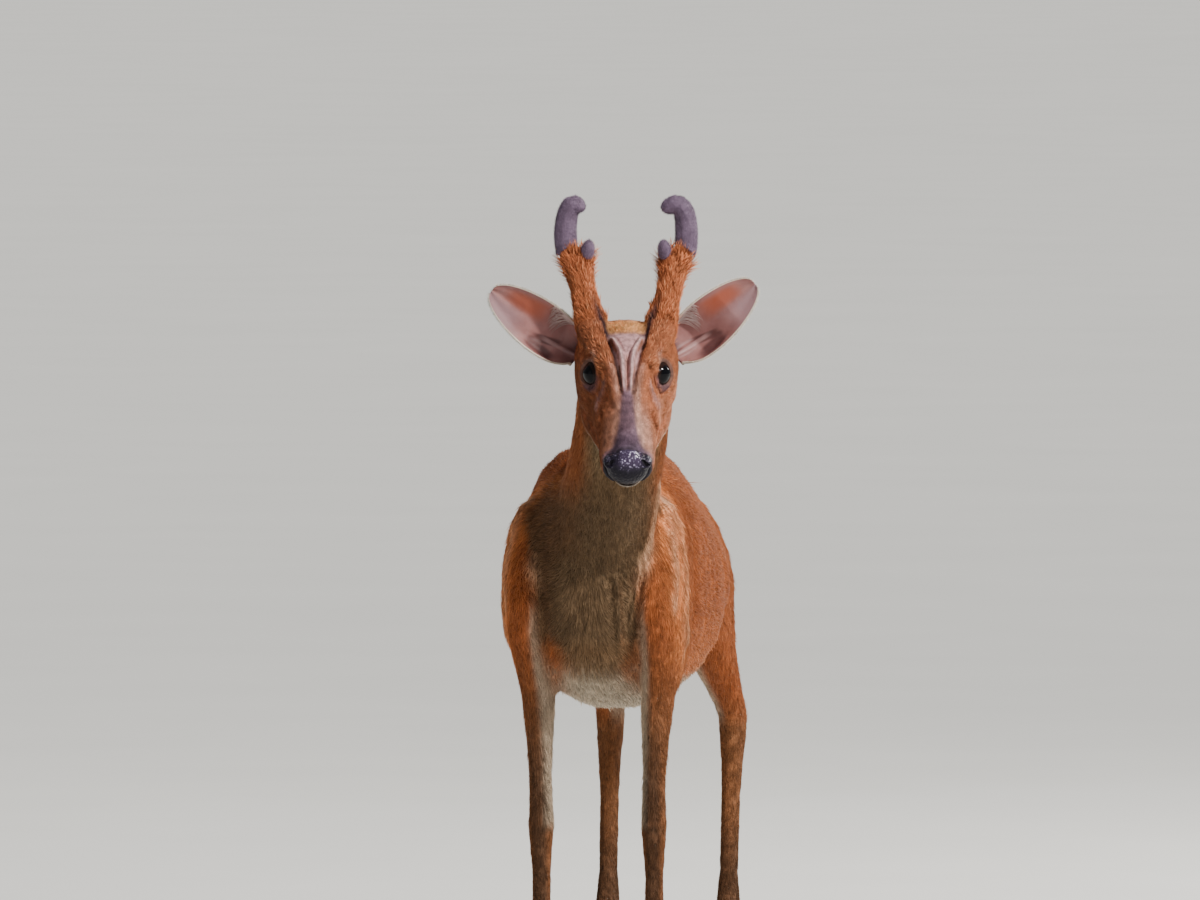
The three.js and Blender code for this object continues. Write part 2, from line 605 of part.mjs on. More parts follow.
addPart("torso", bareTrunk, coat);
addPart("neck", bareNeck, coat);
addPart("tail", bareTail, coat);
addPart("head", placed(head), coat);
addPart("nose", placed(nose), wet);

const sides = [
  { name: "left", turned: (solid) => solid, tip: 1 },
  { name: "right", turned: mirrored, tip: rightTipReach },
];
sides.forEach(({ name, turned, tip }, i) => {
  const onHead = (solid) => placed(turned(solid));
  const headClear = joined([headForm(gap), lidDome()]);
  addPart(`eye_${name}`, placed(eyes[i]), wet);
  const ear = cutBy(earSolid(name), [headClear, pedicleSolid(gap)]);
  addPart(`ear_${name}`, onHead(ear).subtract(neck(gap)), paleCoat);
  addPart(`pedicle_${name}`, onHead(cutBy(pedicleSolid(0), [headClear])), coat);
  addPart(`antler_${name}_beam`, onHead(antlerBeam(tip, 0).subtract(pedicleSolid(gap))), velvet);
  const tineClear = [pedicleSolid(gap), antlerBeam(tip, gap)];
  addPart(`antler_${name}_brow_tine`, onHead(cutBy(tine(0), tineClear)), velvet);
  Object.entries({ foreleg: foreParts, hindleg: hindParts }).forEach(([leg, parts]) => {
    addPart(`${leg}_${name}_upper`, turned(parts.upper), coat);
    addPart(`${leg}_${name}_lower`, turned(parts.lower), shankCoat);
    addPart(`${leg}_${name}_hoof_outer`, turned(parts.hoof_outer), horn);
    addPart(`${leg}_${name}_hoof_inner`, turned(parts.hoof_inner), horn);
  });
});

// The origin goes to the ground under the middle of the whole animal.
const whole = new THREE.Box3().setFromObject(muntjac);
const middle = whole.getCenter(new THREE.Vector3());
muntjac.position.set(-middle.x, -middle.y, -whole.min.z);

export default muntjac;
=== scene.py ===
import math
import bmesh
import bpy
import numpy as np
from mathutils import Matrix, Vector
from mathutils.bvhtree import BVHTree


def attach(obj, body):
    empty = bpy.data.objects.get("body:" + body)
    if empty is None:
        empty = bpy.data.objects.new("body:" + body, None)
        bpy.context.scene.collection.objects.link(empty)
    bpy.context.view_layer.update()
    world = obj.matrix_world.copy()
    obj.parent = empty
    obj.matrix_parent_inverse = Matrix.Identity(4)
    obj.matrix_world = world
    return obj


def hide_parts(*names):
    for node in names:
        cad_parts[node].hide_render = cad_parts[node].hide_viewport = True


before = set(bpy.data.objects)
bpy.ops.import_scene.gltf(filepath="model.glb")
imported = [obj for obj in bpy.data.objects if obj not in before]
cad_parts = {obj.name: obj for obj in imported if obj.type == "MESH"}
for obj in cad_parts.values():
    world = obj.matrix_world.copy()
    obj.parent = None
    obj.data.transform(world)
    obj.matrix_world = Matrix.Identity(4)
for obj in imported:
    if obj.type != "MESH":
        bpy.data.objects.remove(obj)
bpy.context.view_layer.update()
scene = bpy.context.scene

# The view: a long lens 14 m away, just above the level of the eyes and a little to the animal's
# left of straight ahead, with the point between the eyes right of the middle and above it.
eyes_middle = Vector((0.018322, -0.295145, 0.578))
view_turn = math.radians(9)
view_rise = math.radians(3)
view_distance = 14.0
metres_per_dot = 0.00088  # at the eyes
picture_width = 1200  # in dots
eyes_right_of_middle = 26.75
eyes_above_middle = 74
film_width = 36
back = Vector((
    math.sin(view_turn) * math.cos(view_rise),
    -math.cos(view_turn) * math.cos(view_rise),
    math.sin(view_rise),
))
rightward = Vector((math.cos(view_turn), math.sin(view_turn), 0))
upward = back.cross(rightward)
aim = eyes_middle - rightward * eyes_right_of_middle * metres_per_dot
aim -= upward * eyes_above_middle * metres_per_dot
lens = bpy.data.cameras.new("camera")
lens.sensor_width = film_width
lens.lens = film_width * view_distance / (picture_width * metres_per_dot)
lens.clip_end = 200
camera = bpy.data.objects.new("camera", lens)
camera.location = aim + back * view_distance
camera.rotation_euler = back.to_track_quat("Z", "Y").to_euler()
scene.collection.objects.link(camera)
scene.camera = camera


# The studio: a pale floor, a broad high light from the animal's left, a lamp on that side that shows
# in its eye and nose, a rim lamp behind it, and little fill, so that its right side is shaded.
class Wire:
    """One socket of a node tree. Sums on it add Math nodes, so a finish reads as plain arithmetic."""

    def __init__(self, bench, socket):
        self.bench = bench
        self.socket = socket

    def sum(self, kind, first, second):
        return self.bench.put("ShaderNodeMath", {"operation": kind}, {0: first, 1: second})

    def between(self, low, high):
        """0 where this is below low, 1 where it is above high, and smooth between them."""
        settings = {"interpolation_type": "SMOOTHSTEP"}
        return self.bench.put("ShaderNodeMapRange", settings, {0: self, 1: low, 2: high, 3: 0.0, 4: 1.0})

    def near(self, middle, width):
        """1 where this is at the middle, and 0 further off than the width."""
        off = self - middle
        return 1 - (off * off).between(0.0, width * width)


# arithmetic on wires, with a wire or a number on either side
for word, kind in (("add", "ADD"), ("sub", "SUBTRACT"), ("mul", "MULTIPLY"), ("pow", "POWER")):
    setattr(Wire, f"__{word}__", lambda self, other, kind=kind: self.sum(kind, self, other))
    setattr(Wire, f"__r{word}__", lambda self, other, kind=kind: self.sum(kind, other, self))


class Bench:
    """A node tree that is being built."""

    def __init__(self, tree):
        self.tree = tree

    def put(self, kind, settings=None, sockets=None, out=0):
        """Adds a node with its settings, fills its sockets with values or wires, and gives one output."""
        node = self.tree.nodes.new(kind)
        for name, value in (settings or {}).items():
            setattr(node, name, value)
        for name, value in (sockets or {}).items():
            if isinstance(value, Wire):
                self.tree.links.new(value.socket, node.inputs[name])
            else:
                node.inputs[name].default_value = value
        return Wire(self, node.outputs[out]) if len(node.outputs) else node

    def tint(self, factor, first, second):
        """Two colours mixed."""
        return self.put("ShaderNodeMix", {"data_type": "RGBA"}, {0: factor, 6: first, 7: second}, 2)

    def vector(self, kind, first, second):
        """Two vectors joined, or one scaled by a number."""
        place = 3 if kind == "SCALE" else 1
        return self.put("ShaderNodeVectorMath", {"operation": kind}, {0: first, place: second})

    def noise(self, place, scale, detail=2.0, rough=0.5):
        sockets = {"Vector": place, "Scale": scale, "Detail": detail, "Roughness": rough}
        return self.put("ShaderNodeTexNoise", {}, sockets)

    def place(self):
        return self.put("ShaderNodeTexCoord", {}, {}, "Object")

    def mark(self, name, out="Fac"):
        """What the mesh carries under a name: a number, or a colour."""
        return self.put("ShaderNodeAttribute", {"attribute_name": name}, {}, out)

    def bump(self, height, strength, distance):
        return self.put("ShaderNodeBump", {}, {"Strength": strength, "Distance": distance, "Height": height})


class Finish(Bench):
    """A material: one principled surface, whose sockets are set by name."""

    def __init__(self, name):
        self.material = bpy.data.materials.new(name)
        self.material.use_nodes = True
        super().__init__(self.material.node_tree)
        self.surface = self.tree.nodes["Principled BSDF"]

    def set(self, **sockets):
        for name, value in sockets.items():
            socket = self.surface.inputs[name.replace("_", " ")]
            if isinstance(value, Wire):
                self.tree.links.new(value.socket, socket)
            else:
                socket.default_value = value
        return self.material


def lamp(name, kind, place, aimed, size, power, colour):
    """A round lamp of a size in metres, or a sun of an angular size, that shines from a place to another."""
    light = bpy.data.lights.new(name, kind)
    if kind == "SUN":
        light.angle = size
    else:
        light.shape = "DISK"
        light.size = size
    light.energy = power
    light.color = colour
    lamp_object = bpy.data.objects.new(name, light)
    lamp_object.location = place
    lamp_object.rotation_euler = (Vector(place) - Vector(aimed)).to_track_quat("Z", "Y").to_euler()
    scene.collection.objects.link(lamp_object)


sun_size = math.radians(9)
lamp("high_light", "SUN", (0.66, -0.36, 0.66), (0, 0, 0), sun_size, power=4.9, colour=(1.0, 0.97, 0.92))
lamp("lamp_key", "AREA", (1.3, -2.3, 2.1), (0, -0.3, 0.55), size=0.8, power=18, colour=(1.0, 0.98, 0.98))
lamp("lamp_rim", "AREA", (1.5, 1.7, 1.7), (0, 0, 0.45), size=0.9, power=60, colour=(1.0, 0.96, 0.9))
lamp("lamp_fill", "AREA", (-2.2, -2.6, 1.2), (0, 0, 0.5), size=1.6, power=2, colour=(0.93, 0.96, 1.0))
sky = bpy.data.worlds.new("studio")
sky.use_nodes = True
sky.node_tree.nodes["Background"].inputs["Color"].default_value = (0.86, 0.88, 0.9, 1)
sky.node_tree.nodes["Background"].inputs["Strength"].default_value = 0.23
scene.world = sky

floor_reach = 80
floor_corners = [(a * floor_reach, b * floor_reach, 0) for a, b in ((-1, -1), (1, -1), (1, 1), (-1, 1))]
floor_mesh = bpy.data.meshes.new("floor")
floor_mesh.from_pydata(floor_corners, [], [(0, 1, 2, 3)])
floor = bpy.data.objects.new("floor", floor_mesh)
scene.collection.objects.link(floor)
floor_finish = Finish("floor_paint")
floor_grain = floor_finish.noise(floor_finish.place(), 3.0)
floor_colour = floor_finish.tint(floor_grain, (0.70, 0.70, 0.68, 1), (0.76, 0.76, 0.74, 1))
floor_mesh.materials.append(floor_finish.set(Base_Color=floor_colour, Roughness=0.8))


# The skin: the whole hide as one surface, from the muzzle to the tail and down to the hooves. It is
# drawn over the flesh, eased, made finer on the face, and carved there with lids, folds and lips.
flesh = ["torso", "neck", "tail", "head", "pedicle_left", "pedicle_right"]
flesh += [
    f"{leg}_{side}_{half}"
    for leg in ("foreleg", "hindleg")
    for side in ("left", "right")
    for half in ("upper", "lower")
]
body_grain = 0.0034  # size of the skin's faces on the body
head_grain = 0.0012
merging = 2e-6  # corners nearer than this are one
head_yaw = math.radians(9.5)
head_pitch = math.radians(31)
head_turn = Matrix.Rotation(head_yaw, 3, "Z") @ Matrix.Rotation(head_pitch, 3, "X")
head_axes = np.array(head_turn)


def solid_copy(names, swell=0.00035):
    """A copy of some solids as one mesh, corners merged, swollen to close the gaps between them."""
    shape = bmesh.new()
    for name in names:
        shape.from_mesh(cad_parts[name].data)
    bmesh.ops.remove_doubles(shape, verts=shape.verts, dist=merging)
    shape.normal_update()
    for corner in shape.verts:
        corner.co += corner.normal * swell
    mesh = bpy.data.meshes.new("copy")
    shape.to_mesh(mesh)
    shape.free()
    return mesh


def made_plain(piece):
    """The piece with its modifiers carried out, as a plain mesh. The piece itself is removed."""
    bpy.context.view_layer.update()
    ready = piece.evaluated_get(bpy.context.evaluated_depsgraph_get())
    mesh = bpy.data.meshes.new_from_object(ready)
    bpy.data.objects.remove(piece)
    return mesh


def remeshed(mesh, grain):
    """The mesh drawn anew with even faces of about one size."""
    piece = bpy.data.objects.new("form", mesh)
    scene.collection.objects.link(piece)
    change = piece.modifiers.new("even faces", "REMESH")
    change.mode = "VOXEL"
    change.voxel_size = grain
    change.use_smooth_shade = True
    return made_plain(piece)


def read(items, name, width=1, kind=np.float32):
    """One property of many parts of a mesh, with a row for each where it has more than one number."""
    flat = np.empty(len(items) * width, kind)
    items.foreach_get(name, flat)
    return flat.reshape(-1, width) if width > 1 else flat


def points_of(mesh):
    return read(mesh.vertices, "co", 3).astype(np.float64)


def normals_of(mesh):
    mesh.update()
    return read(mesh.vertex_normals, "vector", 3).astype(np.float64)


def first_corners(mesh):
    """The first corner of each face of a mesh."""
    return read(mesh.loops, "vertex_index", kind=np.int32)[read(mesh.polygons, "loop_start", kind=np.int32)]


def tree_of(mesh, points):
    """A tree that finds the nearest place on a mesh whose corners lie at some points."""
    return BVHTree.FromPolygons(points.tolist(), [tuple(face.vertices) for face in mesh.polygons])


def put_points(mesh, points):
    """Moves a mesh's corners to some points."""
    mesh.vertices.foreach_set("co", points.astype(np.float32).ravel())
    mesh.update()


def neighbours(mesh):
    """A function that gives, for values on the corners, the mean of each corner's neighbours."""
    first, second = read(mesh.edges, "vertices", 2, np.int32).T
    total = len(mesh.vertices)
    count = np.bincount(np.concatenate((first, second)), minlength=total)

    def mean(values):
        table = values.reshape(total, -1)
        result = np.empty_like(table)
        for k in range(table.shape[1]):
            result[:, k] = np.bincount(first, table[second, k], total)
            result[:, k] += np.bincount(second, table[first, k], total)
        return (result / count[:, None]).reshape(values.shape)

    return mean


def eased(mesh, rounds, amount=1.0):
    """Smooths a mesh without shrinking it, more where the amount is larger."""
    mean = neighbours(mesh)
    points = points_of(mesh)
    share = np.broadcast_to(amount, len(points))[:, None]
    inward, outward = 0.6, 0.62
    for _ in range(rounds):
        points += inward * share * (mean(points) - points)
        points -= outward * share * (mean(points) - points)
    put_points(mesh, points)


def soft(value, low, high):
    """0 where a value is below low, 1 where it is above high, and smooth between them."""
    t = np.clip((value - low) / (high - low), 0, 1)
    return t * t * (3 - 2 * t)


def unit(vectors):
    return vectors / np.maximum(np.linalg.norm(vectors, axis=-1, keepdims=True), 1e-9)


def band(value, start, low, high, end):
    """1 where a value is from low to high, and 0 before the start and after the end."""
    return soft(value, start, low) * (1 - soft(value, high, end))


def hump(value, width):
    """1 where a value is 0, falling away smoothly over about the width."""
    return np.exp(-((value / width) ** 2))


def head_place(points):
    """Places in the head's own frame, in mm: across to its left, ahead down the face, and up."""
    local = (points - np.array(eyes_middle)) @ head_axes * 1000
    return local[:, 0], -local[:, 1], local[:, 2]


def from_head(across, ahead, up):
    """A place in the shared frame, in metres, from one in the head's."""
    return np.array(eyes_middle) + head_axes @ np.array((across, -ahead, up)) / 1000


def from_path(values, path):
    """Distance of points from a line through some places, and how far along it each point lies."""
    best = np.full(len(values), 1e9)
    along = np.zeros(len(values))
    spans = [np.subtract(b, a) for a, b in zip(path, path[1:])]
    whole = sum(np.linalg.norm(span) for span in spans)
    done = 0.0
    for start, span in zip(path, spans):
        length = np.linalg.norm(span)
        t = np.clip(((values - start) @ span) / length**2, 0, 1)
        distance = np.linalg.norm(values - start - t[:, None] * span, axis=1)
        nearer = distance < best
        best[nearer] = distance[nearer]
        along[nearer] = (done + t[nearer] * length) / whole
        done += length
    return best, along


def finer(mesh, inside):
    """Halves the faces whose corners all pass a test."""
    shape = bmesh.new()
    shape.from_mesh(mesh)
    chosen = inside(points_of(mesh))
    edges = [e for e in shape.edges if chosen[e.verts[0].index] and chosen[e.verts[1].index]]
    bmesh.ops.subdivide_edges(shape, edges=edges, cuts=1, use_grid_fill=True)
    shape.to_mesh(mesh)
    shape.free()
    mesh.update()


eye_radius = 13.2
eye_place = np.array((26, -3.5, 0))  # of the left eye, in the head's frame
eye_out = math.radians(50)
eye_rise = math.radians(23)
eye_tilt = math.radians(-43)
lid_long = 12.2
lid_tall = 9.6
fold_path = [(14.4, -23), (10.2, -13), (6.2, -2), (4.2, 10), (3.3, 38)]  # across and ahead
slit_path = [(17.8, -28), (14.8, -14), (12.3, -3), (9.2, 15), (6.3, 29), (4.9, 44)]
brow_path = [(27, -46, 27), (24.5, -22, 27), (20, 0, 23.5), (16, 20, 19), (12.5, 38, 12)]
gland_path = [(22.5, 26, 9), (24.4, 31.2, 4.1), (26.4, 35.1, -1.8), (28.6, 36.2, -8.5)]
hollow_path = [(23.3, 51, -7.5), (24.5, 55.4, -12.5), (26.6, 54.8, -21.5)]
mouth_corner = 43
mouth_front = 109
mouth_depth = 36.5  # below the eyes, near its corner
mouth_slope = math.radians(6)
nose_black_from = 97  # how far ahead the black skin starts


def mouth_level(ahead):
    """How high the slit of the mouth lies, in the head's frame."""
    return -mouth_depth - (ahead - 42) * math.tan(mouth_slope)


def eye_axes(sign):
    """An eye's own axes as columns in the head's frame: outward, along its opening, and across it."""
    flat_out = np.array((math.sin(eye_out) * sign, -math.cos(eye_out), 0))
    level = np.array((-math.cos(eye_out) * sign, -math.sin(eye_out), 0))
    upright = np.array((0, 0, 1))
    outward = flat_out * math.cos(eye_rise) + upright * math.sin(eye_rise)
    raised = -flat_out * math.sin(eye_rise) + upright * math.cos(eye_rise)
    along = level * math.cos(eye_tilt) + raised * math.sin(eye_tilt)
    high = -level * math.sin(eye_tilt) + raised * math.cos(eye_tilt)
    return np.stack((outward, along, high), axis=1)


def eye_view(across, ahead, up):
    """Places seen from the nearer eye: outward, along its opening to the front corner, and across it."""
    places = np.stack((np.abs(across), -ahead, up), axis=1) - eye_place * (1, -1, 1)
    return (places @ eye_axes(1)).T


def lid_edge(along, high):
    """About how far a point lies outside the oval between the lids, in mm."""
    return (np.hypot(along / lid_long, high / lid_tall) - 1) * lid_tall


def from_eye(across, points):
    """The way to each point from the middle of the nearer eye."""
    eyes = np.where(across[:, None] > 0, from_head(*eye_place), from_head(*(eye_place * (-1, 1, 1))))
    return unit(points - eyes)


def carve_face(points, normals):
    """Lids, brow folds, face glands, lips and cheeks, cut into the skin of the head. All sizes are in mm:
    each line gives a height or depth, the place where it is greatest, and how wide it spreads."""
    across, ahead, up = head_place(points)
    side = np.abs(across)
    near = soft(ahead, -70, -55)
    face = near * soft(normals @ head_axes[:, 2], -0.1, 0.35)
    flat = np.stack((side, ahead), axis=1)
    offset = np.zeros(len(points))
    # the forehead's folds and slits, and the groove between them
    fold, along_fold = from_path(flat, fold_path)
    slit, along_slit = from_path(flat, slit_path)
    ridge = soft(along_fold, 0, 0.12) * (1 - 0.6 * along_fold)
    offset += face * ridge * (4.6 * hump(fold, 2.2) - 1.6 * hump(fold - 3.8, 1.1))
    offset -= face * 3.0 * hump(slit, 1.4) * soft(along_slit, 0, 0.15) * (1 - 0.4 * along_slit)
    offset -= face * 1.5 * hump(side, 2.0) * band(ahead, -14, 2, 34, 46)
    # the brow's ridge, the gland before the eye and the hollow of the cheek
    solid = np.stack((side, ahead, up), axis=1)
    brow, along_brow = from_path(solid, brow_path)
    offset += near * 1.2 * hump(brow, 5.5) * band(along_brow, 0, 0.2, 0.6, 1)
    gland, _ = from_path(solid, gland_path)
    offset += near * 1.5 * hump(gland - 3.3, 1.6)
    offset -= near * 3.0 * hump(gland, 1.7)
    hollow, _ = from_path(solid, hollow_path)
    offset -= near * (1.8 * hump(hollow, 4.5) + 2.6 * hump(hollow, 1.6) - 0.9 * hump(hollow - 4.2, 1.3))
    # the lids' edge, the crease round it and the bulge above
    outward, along, high = eye_view(across, ahead, up)
    lids = near * soft(outward, 2, 6)
    edge = lid_edge(along, high)
    offset += lids * 0.8 * hump(edge - 2.0, 1.6)
    offset -= lids * hump(edge - 5.0, 1.1)
    offset += lids * 0.8 * hump(edge - 8.0, 1.8) * soft(high, 0, 4)
    # the slit of the mouth between the lips, the jaw's angle and the inner feet of the stalks
    lips = band(ahead, mouth_corner - 4, mouth_corner + 6, mouth_front, mouth_front + 4)
    gap = up - mouth_level(ahead)
    offset -= near * lips * 2.6 * hump(gap, 1.0)
    offset += near * lips * 0.8 * (hump(gap - 3.4, 2.2) + hump(gap + 3.0, 2.0))
    jaw = hump(ahead + 12, 22) * hump(up + 38, 16) * soft(side, 18, 30)
    offset += near * 2.4 * jaw
    inward = soft(-(normals @ head_axes[:, 0]) * np.sign(across), 0.1, 0.7)
    stalk_foot = band(-ahead, 38, 50, 80, 100) * soft(up, 24, 36)
    offset -= 3.0 * inward * stalk_foot
    offset += 1.4 * hump(np.linalg.norm(solid - (15.5, -50, 31), axis=1), 9)
    return points + normals * (offset / 1000)[:, None]


def sloped_nose(points):
    """The end of the muzzle with its upper corners drawn down, so that it slopes from the bridge."""
    across, ahead, up = head_place(points)
    drop = 4.5 * soft(np.abs(across), 5, 16) * soft(up, -26, -11) * soft(ahead, 84, 93)
    return points - head_axes[:, 2] * (drop / 1000)[:, None]


def hollowed_orbits(points):
    """The skin drawn in round each eye, gently towards the muzzle, so that the lids lie on the ball."""
    across, ahead, up = head_place(points)
    outward, along, high = eye_view(across, ahead, up)
    reach = np.sqrt(outward**2 + along**2 + high**2)
    edge = lid_edge(along, high)
    steep = 0.95 - 0.45 * soft(along, -4, 8)
    most = eye_radius + 1.0 + steep * np.maximum(edge, 0)
    amount = soft(np.abs(across), 11, 18) * (1 - soft(edge, 16, 30)) * soft(outward, -2, 2)
    drawn = np.maximum(reach - most, 0) * amount
    return points - from_eye(across, points) * (drawn / 1000)[:, None]


def opened_lids(points):
    """The skin between the lids sunk behind the eyeball, so that the ball shows through."""
    across, ahead, up = head_place(points)
    outward, along, high = eye_view(across, ahead, up)
    reach = np.sqrt(outward**2 + along**2 + high**2)
    opening = (1 - soft(lid_edge(along, high), 0.0, 0.5)) * (outward > 0) * (reach < 24)
    sunk = (eye_radius - 2.6 - reach) * opening
    return points + from_eye(across, points) * (np.minimum(sunk, 0) / 1000)[:, None]


skin_mesh = remeshed(solid_copy(flesh + ["eye_left", "eye_right", "nose"]), body_grain)
flesh_copy = solid_copy(flesh, 0)
flesh_points = points_of(flesh_copy)
flesh_tree = tree_of(flesh_copy, flesh_points)


def corner_keys(points):
    """A key for each corner, the same for corners that lie in the same hundredth of a millimetre."""
    return [tuple(row) for row in np.round(points * 1e5).astype(int)]


flesh_keys = corner_keys(flesh_points)
corner_home = np.empty(len(flesh_points), np.int32)
for index, name in enumerate(flesh):
    own_keys = set(corner_keys(points_of(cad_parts[name].data)))
    corner_home[[key in own_keys for key in flesh_keys]] = index
across, ahead, up = head_place(points_of(skin_mesh))
softness = 1 - 0.6 * soft(ahead, -70, -40) * soft(up, -90, -70)  # less on the head
softness *= 1 - 0.75 * (1 - soft(points_of(skin_mesh)[:, 2], 0.16, 0.24))  # and on the shanks
eased(skin_mesh, 45, softness)
points = points_of(skin_mesh)
chest_rounds = 30
chest = soft(-points[:, 1], 0.10, 0.14) * soft(points[:, 2], 0.36, 0.40)
chest *= 1 - soft(points[:, 2], 0.47, 0.50)
mean = neighbours(skin_mesh)
for _ in range(chest_rounds):
    points += 0.5 * chest[:, None] * (mean(points) - points)
put_points(skin_mesh, points)


def by_an_eye(across, ahead, up, radius):
    outward, along, high = eye_view(across, ahead, up)
    return (outward > 0) & (np.hypot(along, high) < radius)


def near_head(points):
    """The head and the top of the neck."""
    _, ahead, up = head_place(points)
    return (ahead > -125) & (up > -78 + np.clip(-ahead, 0, 200) * 0.75) & (ahead < 130)


def near_face(points):
    """Eyes, forehead, cheeks and muzzle."""
    across, ahead, up = head_place(points)
    brow = (np.abs(across) < 22) & (ahead > -34) & (ahead < 50) & (up > 0)
    cheek = (ahead > 12) & (ahead < 42) & (np.abs(across) > 12) & (up > -20)
    muzzle = (ahead > 34) & (up < -2)
    return by_an_eye(across, ahead, up, 21) | brow | cheek | muzzle


def near_folds(points):
    """The lids and the forehead's folds."""
    across, ahead, up = head_place(points)
    folds = (np.abs(across) < 21) & (ahead > -32) & (ahead < 47) & (up > 2)
    return by_an_eye(across, ahead, up, 17) | folds


finer(skin_mesh, near_head)
head_parts = ["head", "neck", "pedicle_left", "pedicle_right", "eye_left", "eye_right", "nose"]
head_form = remeshed(solid_copy(head_parts), head_grain)
eased(head_form, 14)
head_tree = tree_of(head_form, points_of(head_form))
finer(skin_mesh, near_face)
finer(skin_mesh, near_folds)
points = points_of(skin_mesh)
across, ahead, up = head_place(points)
close = soft(ahead, -122, -100) * soft(up + np.clip(ahead, -200, 0) * 0.75, -76, -60)
for index in np.flatnonzero(close > 0):
    found = head_tree.find_nearest(points[index])[0]
    points[index] += close[index] * (np.array(found) - points[index])
put_points(skin_mesh, points)
eased(skin_mesh, 4, 0.8 * close)
put_points(skin_mesh, hollowed_orbits(points_of(skin_mesh)))
across, ahead, up = head_place(points_of(skin_mesh))
outward, along, high = eye_view(across, ahead, up)
by_eye = soft(outward, -4, 0) * (1 - soft(lid_edge(along, high), 16, 26))
by_eye *= 1 - soft(np.abs(across), 50, 60)
eased(skin_mesh, 9, 0.9 * by_eye)
put_points(skin_mesh, carve_face(sloped_nose(points_of(skin_mesh)), normals_of(skin_mesh)))

middle_line = -0.0377  # of the trunk, in x
shoulder_front = [
    (0.062, -0.105, 0.458), (0.072, -0.132, 0.430), (0.076, -0.140, 0.409), (0.078, -0.147, 0.367),
]
shoulder_back = [
    (0.058, -0.105, 0.463), (0.073, -0.110, 0.442), (0.078, -0.118, 0.420), (0.082, -0.121, 0.394),
    (0.082, -0.121, 0.354), (0.084, -0.095, 0.315),
]
neck_foot = [(0.071, -0.187, 0.481), (0.061, -0.164, 0.444), (0.056, -0.159, 0.422), (0.046, -0.170, 0.385)]
elbow = (0.066, -0.048, 0.316)
hip = (0.044, 0.235, 0.482)
stifle_fold = [(0.062, 0.135, 0.430), (0.072, 0.165, 0.390), (0.073, 0.185, 0.350)]
haunch_back = [(0.050, 0.300, 0.450), (0.060, 0.330, 0.400), (0.060, 0.325, 0.350)]


def carve_body(points, normals):
    """Shoulder blades, neck foot, elbows, flank folds, haunches and tendons, cut into the trunk and legs.
    Heights and depths are in mm, places and widths in m."""
    x, y, z = points.T
    side = np.abs(x - middle_line)
    outer = soft(normals[:, 0] * np.sign(x - middle_line), 0.0, 0.5)
    solid = np.stack((side, y, z), axis=1)
    offset = np.zeros(len(points))
    # the shoulder's two ridges, the dip behind them and the edge at the neck's foot
    blade_front, along_front = from_path(solid, shoulder_front)
    blade_back, along_back = from_path(solid, shoulder_back)
    fading_front = band(along_front, 0, 0.15, 0.8, 1)
    fading_back = band(along_back, 0, 0.1, 0.85, 1)
    offset += outer * 3.6 * hump(blade_front, 0.0048) * fading_front
    offset += outer * 3.8 * hump(blade_back, 0.0055) * fading_back
    behind = band(y, -0.112, -0.096, -0.085, -0.02)
    offset -= outer * 3.2 * behind * band(z, 0.31, 0.36, 0.44, 0.49)
    foot, along_foot = from_path(solid, neck_foot)
    offset += 2.6 * hump(foot, 0.0045) * band(along_foot, 0, 0.1, 0.85, 1)
    # elbow, hip, the fold before the thigh and the hollow above it
    offset += outer * 3.0 * hump(np.linalg.norm(solid - elbow, axis=1), 0.017)
    offset += outer * 2.6 * hump(np.linalg.norm(solid - hip, axis=1), 0.026)
    fold, _ = from_path(solid, stifle_fold)
    offset += outer * 2.2 * hump(fold, 0.012)
    hollow_flank = band(y, 0.08, 0.13, 0.145, 0.17)
    hollow_flank *= band(z, 0.33, 0.37, 0.43, 0.48)
    offset -= outer * 2.6 * hollow_flank
    # the groove behind the haunch, the ribs and the dip before the hock's tendon
    rear, _ = from_path(solid, haunch_back)
    offset -= outer * 1.8 * hump(rear - 0.024, 0.012) * (y > 0.2) * soft(z, 0.3, 0.34)
    rib_spacing = 0.021
    ribs = np.sin((y + 0.12 * (z - 0.4)) * 2 * math.pi / rib_spacing)
    offset += outer * 0.35 * ribs * band(y, -0.09, -0.03, 0.06, 0.11) * hump(z - 0.385, 0.05)
    offset -= outer * 1.5 * hump(y - 0.322, 0.006) * hump(z - 0.275, 0.022)
    return points + normals * (offset / 1000)[:, None]


put_points(skin_mesh, carve_body(points_of(skin_mesh), normals_of(skin_mesh)))


# The lie and length of the coat: hair runs back from the nose, up the antlers' stalks, down the neck
# to the chest, back along the trunk, down the legs and along the tail.
points = points_of(skin_mesh)
nearest_faces = [flesh_tree.find_nearest(point)[2] for point in points]
home = corner_home[first_corners(flesh_copy)][nearest_faces]
mean = neighbours(skin_mesh)


def spread(values, rounds):
    """Values on the skin's corners, blurred over their neighbours."""
    for _ in range(rounds):
        values = 0.3 * values + 0.7 * mean(values)
    return values


def share_of(*names, rounds=12):
    """How far each corner of the skin belongs to some solids, blurred where they meet."""
    return spread(np.isin(home, [flesh.index(name) for name in names]).astype(float), rounds)


